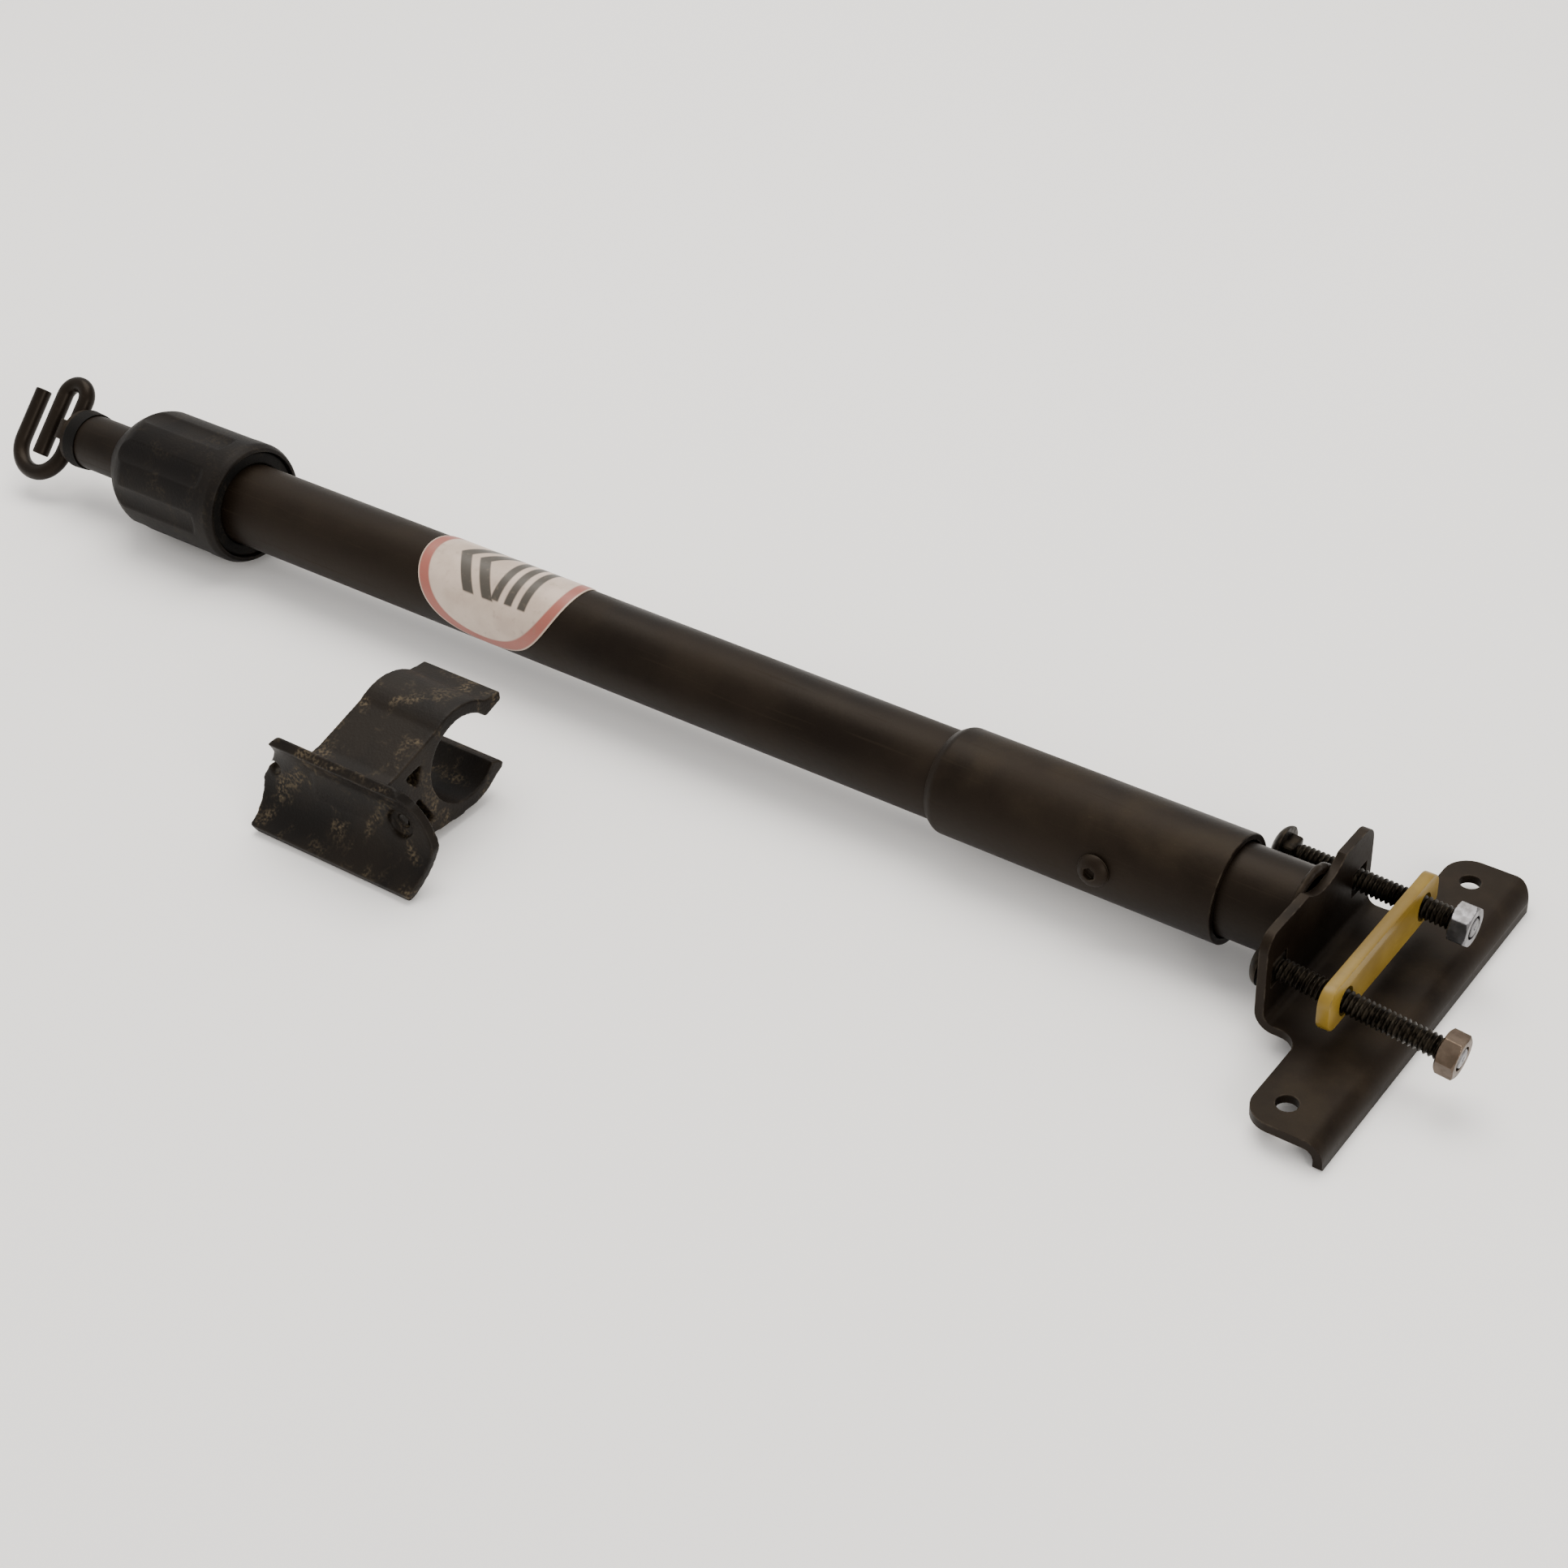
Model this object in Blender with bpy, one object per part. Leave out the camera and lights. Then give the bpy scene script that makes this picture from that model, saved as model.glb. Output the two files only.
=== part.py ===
"""Telescoping twist-lock cargo bar with a bolted clamp bracket, a wire hook and a saddle clip.

Frame: metres, +Z up.  The origin lies on the underside of the bracket's base plate, midway
between its two screw holes.  +X runs along the bar from the hook to the bracket's turned-down lip.
"""

import math

import bmesh
import bpy
from mathutils import Matrix, Vector

# ---- driving dimensions -------------------------------------------------------------------
GAP = 0.0003                 # clearance kept between any two pieces
AXIS_Z = 0.0192              # height of the bar's axis over the base plate's underside

# tubes
TUBE_R, TUBE_WALL = 0.0160, 0.0015
ROD_R, ROD_WALL = 0.0110, 0.0015
SLEEVE_R = 0.0190
TUBE_LEFT, TUBE_RIGHT = -0.5395, -0.1135
STUB_LEFT = -0.1125
SLEEVE_LEFT, SLEEVE_RIGHT = -0.1628, -0.0528

# bracket, one bent sheet
SHEET = 0.0032
FLANGE_X = -0.0268           # face of the upright flange that the stub tube meets
LIP_X = 0.0182               # outer face of the turned-down lip
BRACKET_TOP = 0.0357
LIP_DROP = 0.0063            # how far the lip reaches below the base plate
HALF_WIDTH = 0.0750
NECK_HALF = 0.0355
TAB_X = -0.0104              # edge of the two screw tabs on the tube's side
BEND_R = 0.0035              # inner bend radius
HOLE_R, HOLE_Y = 0.00365, 0.0635
DIP_Y, DIP_HALF, DIP_DEPTH = 0.0030, 0.0125, 0.0045   # hollow in the flange's top edge

# clamp hardware
BOLT_Y, BOLT_Z = 0.0270, AXIS_Z
BOLT_R, BOLT_LEN = 0.0039, 0.0674
HEAD_R, HEAD_H = 0.0080, 0.0042
NECK_SQ, NECK_LEN = 0.0084, 0.0040
NUT_AF, NUT_H = 0.0130, 0.0066
NUT_BACK = -0.0002           # how far a nut stands past its bolt's end
NEAR_DROOP, FAR_DROOP = math.radians(5.9), math.radians(2.5)   # how far each loose bolt hangs down
NEAR_TURN, FAR_TURN = math.radians(20.0), math.radians(-10.0)  # how each nut is turned on its bolt
NEAR_SLIP, FAR_SLIP = 0.0009, 0.0231   # how far each head stands off the flange
FAR_DROP = 0.0011            # the far bolt's hole lies this much lower
BAR_X, BAR_T = -0.0048, 0.0044
BAR_NEAR, BAR_FAR = -0.0388, 0.0370
BAR_LOW, BAR_HIGH, BAR_CORNER = 0.0103, 0.0261, 0.0056
BAR_PLAY = 0.0006            # the bar's holes are this much longer up and down
BAR_HOLE_GAP = 0.0006        # and this much larger in radius than the bolts

# twist knob and what it holds
KNOB_LEFT, KNOB_RIGHT = -0.5553, -0.4888
KNOB_R = 0.0240
CAVITY_R, MOUTH_R, MOUTH_DEPTH = 0.0194, 0.0212, 0.0060
RING_SINK = 0.0012           # how far the end ring sits inside the knob's mouth
FLUTES = 8

# rod end and hook
EYE_X = -0.5923
HOOK_TURN = math.radians(46.0)
WIRE_R = 0.00325
BIG_BEND, SMALL_BEND = 0.01186, 0.00592
LEG_DOWN, LEG_UP = 0.0082, 0.0137
LEG_OUTER, LEG_INNER = 0.0208, 0.0264
ROD_LEFT, ROD_RIGHT = -0.5846, -0.2546

# label on the main tube
LABEL_X, LABEL_ANGLE, LABEL_R = -0.3583, math.radians(89.0), 0.0349
LABEL_THICK = 0.0003

# sleeve screw
SCREW_X, SCREW_ANGLE = -0.0953, math.radians(6.0)

# saddle clip, lying beside the bar on the plane of the lip's lower edge
GROUND = -LIP_DROP
CLIP_Y, CLIP_Z, CLIP_BORE, CLIP_OUTER = -0.0808, GROUND + 0.0245, 0.0160, 0.0210
CLIP_LEFT, CLIP_RIGHT = -0.3426, -0.3080
SADDLE_Y, SADDLE_Z, SADDLE_R, SADDLE_T = -0.1381, GROUND + 0.0224, 0.0206, 0.0039
SADDLE_LOW, SADDLE_HIGH = -66.0, 42.0
LOW_LEFT, LOW_RIGHT = -0.3648, -0.2922    # ends of the saddle's lower edge
WAIST_LEFT, WAIST_RIGHT = -0.3672, -0.2895
TOP_LEFT, TOP_RIGHT = -0.3586, -0.2965    # ends of the saddle's upper edge
CLIP_HOLES = (-0.3612, -0.3037)

SEGMENTS = 48

for old in list(bpy.data.objects):
    bpy.data.objects.remove(old, do_unlink=True)


# ---- materials ----------------------------------------------------------------------------
def finish(name, colour, roughness, metallic=0.0):
    """A Principled material of one colour."""
    material = bpy.data.materials.new(name)
    material.use_nodes = True
    shader = material.node_tree.nodes["Principled BSDF"]
    shader.inputs["Base Color"].default_value = (*colour, 1.0)
    shader.inputs["Roughness"].default_value = roughness
    shader.inputs["Metallic"].default_value = metallic
    return material


BLACK_PAINT = finish("black_paint", (0.022, 0.020, 0.018), 0.42, 0.2)
BLACK_NYLON = finish("black_nylon", (0.028, 0.025, 0.022), 0.58)
BLACK_RUBBER = finish("black_rubber", (0.012, 0.011, 0.010), 0.80)
YELLOW_PAINT = finish("yellow_paint", (0.72, 0.50, 0.14), 0.38)
ZINC = finish("zinc_plate", (0.60, 0.56, 0.50), 0.32, 1.0)
DARK_STEEL = finish("dark_steel", (0.12, 0.10, 0.08), 0.45, 1.0)
LABEL_FILM = finish("label_film", (0.62, 0.54, 0.46), 0.45)
PLAIN_STEEL = finish("plain_steel", (0.45, 0.44, 0.42), 0.40, 1.0)


# ---- helpers ------------------------------------------------------------------------------
def place(name, mesh, material, smooth_angle=30.0):
    """Link a mesh as an object with its material; curved faces are shaded smooth."""
    obj = bpy.data.objects.new(name, mesh)
    bpy.context.scene.collection.objects.link(obj)
    mesh.materials.append(material)
    mesh.shade_smooth()
    mesh.set_sharp_from_angle(angle=math.radians(smooth_angle))
    return obj


def mesh_of(name, build):
    """Fill a new mesh with what build(bm) makes, its faces turned outwards."""
    bm = bmesh.new()
    build(bm)
    bmesh.ops.remove_doubles(bm, verts=bm.verts, dist=1e-6)
    bmesh.ops.recalc_face_normals(bm, faces=bm.faces)
    mesh = bpy.data.meshes.new(name)
    bm.to_mesh(mesh)
    bm.free()
    return mesh


def arc(centre, radius, start, end, steps):
    """Points on a circle from one angle to another, in degrees, ends included."""
    angles = [math.radians(start + (end - start) * i / steps) for i in range(steps + 1)]
    return [(centre[0] + radius * math.cos(a), centre[1] + radius * math.sin(a)) for a in angles]


def prism(name, outline, axis, low, high):
    """A flat outline carried along one axis: 'X' takes (y, z), 'Y' takes (x, z), 'Z' takes (x, y)."""
    def point(pair, along):
        u, v = pair
        return {"X": (along, u, v), "Y": (u, along, v), "Z": (u, v, along)}[axis]

    def build(bm):
        face = bm.faces.new([bm.verts.new(point(pair, low)) for pair in outline])
        made = bmesh.ops.extrude_face_region(bm, geom=[face])["geom"]
        shift = Vector(point((0.0, 0.0), high - low))
        bmesh.ops.translate(bm, vec=shift, verts=[v for v in made if isinstance(v, bmesh.types.BMVert)])
    return mesh_of(name, build)


def turned(name, profile, segments=SEGMENTS, centre=(0.0, AXIS_Z), sweep=360.0, start=0.0):
    """A closed (x, radius) profile spun about a line along X through centre (y, z)."""
    def build(bm):
        verts = [bm.verts.new((x, centre[0], centre[1] + r)) for x, r in profile]
        edges = [bm.edges.new((verts[i], verts[(i + 1) % len(verts)])) for i in range(len(verts))]
        ring = bm.faces.new(verts) if sweep < 360.0 else None
        pivot = Vector((0.0, centre[0], centre[1]))
        if start:
            bmesh.ops.rotate(bm, verts=verts, cent=pivot, matrix=Matrix.Rotation(start, 3, "X"))
        geometry = [ring] if ring else verts + edges
        bmesh.ops.spin(bm, geom=geometry, cent=pivot, axis=(1, 0, 0),
                       angle=math.radians(sweep), steps=segments, use_merge=sweep == 360.0)
    return mesh_of(name, build)


def cylinder(name, radius, depth, matrix, segments=24, radius_top=None):
    """A cylinder or cone along the matrix's Z axis, centred on its origin."""
    def build(bm):
        bmesh.ops.create_cone(bm, cap_ends=True, segments=segments, radius1=radius,
                              radius2=radius if radius_top is None else radius_top,
                              depth=depth, matrix=matrix)
    return mesh_of(name, build)


def box(name, low, high, matrix=Matrix.Identity(4)):
    """A block between two corners, then moved by the matrix."""
    centre = [(a + b) / 2 for a, b in zip(low, high)]
    size = [b - a for a, b in zip(low, high)]

    def build(bm):
        bmesh.ops.create_cube(bm, size=1.0, matrix=Matrix.Translation(centre) @ Matrix.Diagonal((*size, 1.0)))
        bmesh.ops.transform(bm, matrix=matrix, verts=bm.verts)
    return mesh_of(name, build)


def along(origin, direction):
    """A matrix whose Z axis points along direction from origin."""
    turn = Vector(direction).to_track_quat("Z", "Y").to_matrix().to_4x4()
    return Matrix.Translation(origin) @ turn


def helper(name, mesh):
    """An object that only shapes others: drawn as wire and never rendered."""
    obj = bpy.data.objects.new(name, mesh)
    bpy.context.scene.collection.objects.link(obj)
    obj.hide_render = True
    obj.display_type = "WIRE"
    return obj


def boolean(obj, operation, other):
    """Add a live Boolean with the exact solver."""
    modifier = obj.modifiers.new(operation.lower() + "_" + other.name, "BOOLEAN")
    modifier.operation = operation
    modifier.solver = "EXACT"
    modifier.object = other
    return obj


def soften(obj, width, segments=2, angle=40.0):
    """Round the sharp edges a little."""
    modifier = obj.modifiers.new("soft_edges", "BEVEL")
    modifier.width = width
    modifier.segments = segments
    modifier.limit_method = "ANGLE"
    modifier.angle_limit = math.radians(angle)
    return obj


def tube_profile(left, right, outer, inner):
    """A plain tube wall as a closed (x, radius) loop."""
    return [(left, outer), (right, outer), (right, inner), (left, inner)]


def axis_point(x, radius=0.0, angle=0.0):
    """A point round the bar's axis; angle is counted from -Y upwards."""
    return Vector((x, -radius * math.cos(angle), AXIS_Z + radius * math.sin(angle)))


def radial(angle):
    """The outward direction at an angle counted from -Y upwards."""
    return Vector((0.0, -math.cos(angle), math.sin(angle)))


# ---- bracket ------------------------------------------------------------------------------
def half_front(lip_corner):
    """One half of the bracket's front view from the lip up: rounded lip end, tab, neck, top corner."""
    edge, corner = 0.0005, 0.0060
    middle = (HALF_WIDTH + edge - lip_corner, lip_corner - LIP_DROP - edge)
    side = arc(middle, lip_corner, -90, 0, 6)
    side += [(HALF_WIDTH + edge, 0.010), (NECK_HALF + 0.001, 0.010), (NECK_HALF + 0.001, BRACKET_TOP - corner)]
    return side + arc((NECK_HALF - corner, BRACKET_TOP - corner), corner, 0, 90, 6)


def make_bracket():
    """One bent sheet: upright flange, base plate with two screw tabs, turned-down lip."""
    outer = BEND_R + SHEET
    top = BRACKET_TOP + 0.002
    profile = [(FLANGE_X, top)]
    profile += arc((FLANGE_X + outer, outer), outer, 180, 270, 8)
    profile += arc((LIP_X - outer, -BEND_R), BEND_R, 90, 0, 6)
    profile += [(LIP_X - SHEET, -LIP_DROP), (LIP_X, -LIP_DROP)]
    profile += arc((LIP_X - outer, SHEET - outer), outer, 0, 90, 8)
    profile += arc((FLANGE_X + outer, outer), BEND_R, 270, 180, 6)
    profile += [(FLANGE_X + SHEET, top)]
    sheet = place("bracket", prism("bracket", profile, "Y", -HALF_WIDTH - 0.002, HALF_WIDTH + 0.002), BLACK_PAINT)

    fillet, corner = 0.0070, 0.0095
    half = [(FLANGE_X - 0.01, NECK_HALF)]
    half += arc((TAB_X - fillet, NECK_HALF + fillet), fillet, -90, 0, 8)
    half += arc((TAB_X + corner, HALF_WIDTH - corner), corner, 180, 90, 8)
    blank_r, edge = 0.0070, 0.0005
    far_end = arc((LIP_X + edge - blank_r, HALF_WIDTH - blank_r), blank_r, 90, 0, 8)
    plan = half + far_end + [(LIP_X + edge, -HALF_WIDTH)] + [(x, -y) for x, y in reversed(half)]
    boolean(sheet, "INTERSECT", helper("plan_shape", prism("plan_shape", plan, "Z", -0.03, 0.06)))

    dip_r = (DIP_HALF ** 2 + DIP_DEPTH ** 2) / (2 * DIP_DEPTH)
    spread = math.degrees(math.asin(DIP_HALF / dip_r))
    dip = arc((DIP_Y, BRACKET_TOP - DIP_DEPTH + dip_r), dip_r, 270 + spread, 270 - spread, 12)
    far, near = half_front(0.0065), half_front(0.0030)
    front = far + dip + [(-y, z) for y, z in reversed(near)]
    boolean(sheet, "INTERSECT", helper("front_shape", prism("front_shape", front, "X", -0.05, 0.05)))

    for side_name, sign, drop in (("near", -1, 0.0), ("far", 1, FAR_DROP)):
        drill = cylinder("drill", HOLE_R, 0.02, along((0.0, sign * HOLE_Y, SHEET / 2), (0, 0, 1)), 24)
        boolean(sheet, "DIFFERENCE", helper("screw_hole_" + side_name, drill))
        reach = NECK_SQ / 2 + 2 * GAP
        low = (FLANGE_X - 0.01, sign * BOLT_Y - reach, BOLT_Z - drop - reach)
        high = (FLANGE_X + 0.01, sign * BOLT_Y + reach, BOLT_Z - drop + reach)
        boolean(sheet, "DIFFERENCE", helper("bolt_hole_" + side_name, box("punch", low, high)))
    return sheet


def make_weld():
    """The fillet of weld that runs over the top of the stub tube where it meets the flange."""
    root = TUBE_R + GAP
    face = FLANGE_X - GAP
    leg = 0.0021
    profile = [(face, root), (face - leg - 0.0006, root), (face - leg * 0.45, root + leg * 0.55), (face, root + leg)]
    return place("weld_bead", turned("weld_bead", profile, 30, sweep=256.0, start=math.radians(-128.0)), BLACK_PAINT)


# ---- tubes --------------------------------------------------------------------------------
def make_tubes():
    """Main tube, stub tube, sleeve and the parts that fasten the sleeve."""
    inner = TUBE_R - TUBE_WALL
    main = place("main_tube", turned("main_tube", tube_profile(TUBE_LEFT, TUBE_RIGHT, TUBE_R, inner)), BLACK_PAINT)
    stub_right = FLANGE_X - GAP
    stub = place("stub_tube", turned("stub_tube", tube_profile(STUB_LEFT, stub_right, TUBE_R, inner)), BLACK_PAINT)

    bore = TUBE_R + GAP
    rim = 0.0022
    profile = [(SLEEVE_LEFT, bore), (SLEEVE_LEFT, SLEEVE_R - rim)]
    profile += [(SLEEVE_LEFT + rim - rim * math.cos(a), SLEEVE_R - rim + rim * math.sin(a))
                for a in (math.radians(18 * i) for i in range(1, 6))]
    profile += [(SLEEVE_RIGHT - 0.0006, SLEEVE_R), (SLEEVE_RIGHT, SLEEVE_R - 0.0006), (SLEEVE_RIGHT, bore)]
    sleeve = place("sleeve", turned("sleeve", profile), BLACK_PAINT)

    shank = 0.0029
    out = radial(SCREW_ANGLE)
    drill = cylinder("drill", shank + GAP, 0.02, along(axis_point(SCREW_X, 0.018, SCREW_ANGLE), out), 20)
    screw_hole = helper("sleeve_screw_hole", drill)
    boolean(sleeve, "DIFFERENCE", screw_hole)
    boolean(stub, "DIFFERENCE", screw_hole)
    make_sleeve_screw(shank, out)
    make_weld_nut(shank, out)
    return main, stub, sleeve


def make_sleeve_screw(shank, out):
    """Button-head screw with a hexagon socket, through the sleeve into the nut in the stub tube."""
    seat, tip = SLEEVE_R + GAP, 0.0075
    head_r, head_h = 0.0058, 0.0033
    rings = [(0.0, shank), (seat - tip, shank), (seat - tip, head_r)]
    rings += [(seat - tip + head_h * math.sin(a), head_r * math.cos(a) ** 0.8)
              for a in (math.radians(15 * i) for i in range(1, 6))]

    def build(bm):
        frame = along(axis_point(SCREW_X, tip, SCREW_ANGLE), out)
        count = 24
        loops = []
        for height, radius in rings:
            loops.append([bm.verts.new(frame @ Vector((radius * math.cos(t), radius * math.sin(t), height)))
                          for t in (2 * math.pi * i / count for i in range(count))])
        for low, high in zip(loops, loops[1:]):
            for i in range(count):
                bm.faces.new((low[i], low[(i + 1) % count], high[(i + 1) % count], high[i]))
        bm.faces.new(loops[0])
        bm.faces.new(loops[-1])
    screw = place("sleeve_screw", mesh_of("sleeve_screw", build), BLACK_PAINT)
    socket_r = 0.0020 / math.cos(math.pi / 6)
    top = axis_point(SCREW_X, seat + head_h, SCREW_ANGLE)
    boolean(screw, "DIFFERENCE", helper("screw_socket", cylinder("socket", socket_r, 0.0040, along(top, out), 6)))


def make_weld_nut(shank, out):
    """The hexagon nut fixed inside the stub tube that takes the sleeve screw."""
    middle = axis_point(SCREW_X, 0.0108, SCREW_ANGLE)
    nut = cylinder("weld_nut", 0.0050 / math.cos(math.pi / 6), 0.0040, along(middle, out), 6)
    hole = cylinder("drill", shank + GAP, 0.02, along(middle, out), 20)
    boolean(place("weld_nut", nut, PLAIN_STEEL), "DIFFERENCE", helper("weld_nut_hole", hole))


def make_label():
    """A round label wrapped round the main tube, a thin curved disc."""
    inner = TUBE_R + GAP
    rows, columns = 32, 4

    def build(bm):
        def sheet(radius):
            lines = []
            for i in range(rows + 1):
                turn = math.pi * (i / rows - 0.5)
                angle = LABEL_ANGLE + LABEL_R * math.sin(turn) / TUBE_R
                half = LABEL_R * math.cos(turn)
                lines.append([bm.verts.new(axis_point(LABEL_X + half * (2 * k / columns - 1), radius, angle))
                              for k in range(columns + 1)])
            for low, high in zip(lines, lines[1:]):
                for k in range(columns):
                    bm.faces.new((low[k], low[k + 1], high[k + 1], high[k]))
            return [line[0] for line in lines] + [line[-1] for line in reversed(lines)]
        under, over = sheet(inner), sheet(inner + LABEL_THICK)
        for i in range(len(under)):
            bm.faces.new((under[i - 1], under[i], over[i], over[i - 1]))
    place("tube_label", mesh_of("tube_label", build), LABEL_FILM)


# ---- twist lock ---------------------------------------------------------------------------
def make_knob():
    """The grip that is turned to lock the rod, with shallow flutes and a cone inside."""
    bore = ROD_R + GAP
    cone_left, cone_right = KNOB_LEFT + 0.0050, KNOB_LEFT + 0.0150
    edge = 0.0034
    profile = [(KNOB_LEFT, bore), (KNOB_LEFT, 0.0128), (KNOB_LEFT + 0.0030, 0.0155),
               (KNOB_LEFT + 0.0090, 0.0205), (KNOB_LEFT + 0.0130, 0.0229), (KNOB_LEFT + 0.0165, KNOB_R)]
    profile += [(KNOB_RIGHT - edge + edge * math.sin(a), KNOB_R - 0.0018 * (1 - math.cos(a)))
                for a in (math.radians(18 * i) for i in range(6))]
    profile += [(KNOB_RIGHT, MOUTH_R), (KNOB_RIGHT - MOUTH_DEPTH, MOUTH_R), (KNOB_RIGHT - MOUTH_DEPTH, CAVITY_R),
                (cone_right, CAVITY_R), (cone_left, bore)]
    knob = place("knob", turned("knob", profile, 64), BLACK_NYLON)
    cut_r, depth = 0.0120, 0.0013
    first, last = KNOB_LEFT + 0.0100, KNOB_RIGHT - 0.0080
    for i in range(FLUTES):
        angle = 2 * math.pi * (i + 0.5) / FLUTES
        middle = axis_point((first + last) / 2, KNOB_R + cut_r - depth, angle)
        cutter = cylinder("cutter", cut_r, last - first, along(middle, (1, 0, 0)), 48)
        boolean(knob, "DIFFERENCE", helper(f"flute_{i}", cutter))


def make_knob_ring():
    """The dark ring, sunk in the knob's mouth, that closes it round the main tube."""
    left, right, bore = KNOB_RIGHT - MOUTH_DEPTH + GAP, KNOB_RIGHT - RING_SINK, TUBE_R + GAP
    crown, round_r = MOUTH_R - GAP, 0.0010
    profile = [(left, bore), (left, crown)]
    profile += [(right - round_r + round_r * math.sin(a), crown - round_r + round_r * math.cos(a))
                for a in (math.radians(18 * i) for i in range(6))]
    profile += [(right, bore)]
    place("knob_ring", turned("knob_ring", profile), BLACK_RUBBER)


def make_lock():
    """The collar on the tube's end, its pin, and the split collet that grips the rod."""
    left, right = -0.5300, -0.5000
    collar_r = CAVITY_R - GAP
    collar = place("threaded_collar", turned("threaded_collar", tube_profile(left, right, collar_r, TUBE_R + GAP)),
                   BLACK_NYLON)
    pin_r, pin_x, pin_angle = 0.0014, -0.5150, math.radians(90.0)
    inside, outside = TUBE_R - TUBE_WALL, collar_r - 0.0002
    out = radial(pin_angle)
    middle = axis_point(pin_x, (inside + outside) / 2, pin_angle)
    place("collar_pin", cylinder("collar_pin", pin_r, outside - inside, along(middle, out), 16), PLAIN_STEEL)
    hole = helper("collar_pin_hole", cylinder("drill", pin_r + GAP, 0.012, along(middle, out), 16))
    boolean(collar, "DIFFERENCE", hole)
    boolean(bpy.data.objects["main_tube"], "DIFFERENCE", hole)

    left, right = KNOB_LEFT + 0.0078, KNOB_LEFT + 0.0148
    profile = [(left, ROD_R + GAP), (left, 0.0132), (right, 0.0187), (right, ROD_R + GAP)]
    collet = place("collet", turned("collet", profile), BLACK_NYLON)
    slit = box("slit", (left - 0.01, -0.0008, AXIS_Z), (right + 0.01, 0.0008, AXIS_Z + 0.03))
    boolean(collet, "DIFFERENCE", helper("collet_slit", slit))


# ---- sliding rod and hook -----------------------------------------------------------------
def make_rod():
    """The rod that slides in the main tube, the guide on its inner end and the guide's pin."""
    inner = ROD_R - ROD_WALL
    rod = place("inner_rod", turned("inner_rod", tube_profile(ROD_LEFT, ROD_RIGHT, ROD_R, inner), 40), BLACK_PAINT)
    spigot, guide_r = inner - GAP, TUBE_R - TUBE_WALL - GAP
    groove_l, groove_r, groove = ROD_RIGHT - 0.0130, ROD_RIGHT - 0.0090, 0.0076
    left, shoulder, right = ROD_RIGHT - 0.0200, ROD_RIGHT + GAP, ROD_RIGHT + 0.0090
    profile = [(left, 0.0), (left, spigot), (groove_l, spigot), (groove_l, groove), (groove_r, groove),
               (groove_r, spigot), (shoulder, spigot), (shoulder, guide_r), (right, guide_r), (right, 0.0)]
    place("rod_guide", turned("rod_guide", profile, 40), BLACK_NYLON)
    pin_r, pin_x = 0.0012, (groove_l + groove_r) / 2
    low, high = groove + GAP, ROD_R - 0.0001
    out = radial(math.pi / 2)
    middle = axis_point(pin_x, (low + high) / 2, math.pi / 2)
    place("guide_pin", cylinder("guide_pin", pin_r, high - low, along(middle, out), 12), PLAIN_STEEL)
    drill = cylinder("drill", pin_r + GAP, 0.008, along(middle, out), 12)
    boolean(rod, "DIFFERENCE", helper("guide_pin_hole", drill))
    return rod


def hook_axis():
    """Direction of the wire's straight leg through the eye."""
    return Vector((0.0, math.cos(HOOK_TURN), math.sin(HOOK_TURN)))


def make_rod_end():
    """Plug with an eye for the hook, its cross pin, and the rubber ring over the rod's end."""
    inner = ROD_R - ROD_WALL
    leg = hook_axis()
    side = Vector((1.0, 0.0, 0.0)).cross(leg)
    flange_l, flange_r = ROD_LEFT - 0.0027, ROD_LEFT - GAP
    profile = [(flange_l, 0.0), (flange_l, 0.0108), (flange_l + 0.0006, 0.0114), (flange_r, 0.0114),
               (flange_r, inner - GAP), (ROD_LEFT + 0.0140, inner - GAP), (ROD_LEFT + 0.0140, 0.0)]
    plug = place("hook_eye", turned("hook_eye", profile, 40), BLACK_PAINT)
    eye_r, half_t = 0.0060, 0.0040
    frame = Matrix.Translation((EYE_X, 0.0, AXIS_Z)) @ Matrix((
        (1.0, side.x, leg.x, 0.0), (0.0, side.y, leg.y, 0.0), (0.0, side.z, leg.z, 0.0), (0.0, 0.0, 0.0, 1.0)))
    outline = arc((0.0, 0.0), eye_r, 90, 270, 12) + [(0.0070, -eye_r), (0.0070, eye_r)]
    lug = prism("lug", outline, "Z", -half_t, half_t)
    lug.transform(frame)
    boolean(plug, "UNION", helper("eye_lug", lug))
    hole = cylinder("drill", WIRE_R + GAP, 0.02, along((EYE_X, 0.0, AXIS_Z), leg), 20)
    boolean(plug, "DIFFERENCE", helper("eye_hole", hole))

    pin_r, pin_x = 0.0012, ROD_LEFT + 0.0025
    reach = ROD_R - 0.0001
    middle = axis_point(pin_x)
    place("eye_pin", cylinder("eye_pin", pin_r, 2 * reach, along(middle, leg), 12), PLAIN_STEEL)
    hole = helper("eye_pin_hole", cylinder("drill", pin_r + GAP, 0.03, along(middle, leg), 12))
    boolean(plug, "DIFFERENCE", hole)
    boolean(bpy.data.objects["inner_rod"], "DIFFERENCE", hole)

    left, right = ROD_LEFT + 0.0001, ROD_LEFT + 0.0058
    profile = [(left, ROD_R + GAP), (left, 0.0116), (left + 0.0006, 0.0120), (right - 0.0012, 0.0120),
               (right, 0.0115), (right, ROD_R + GAP)]
    place("end_ring", turned("end_ring", profile, 40), BLACK_RUBBER)


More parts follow.
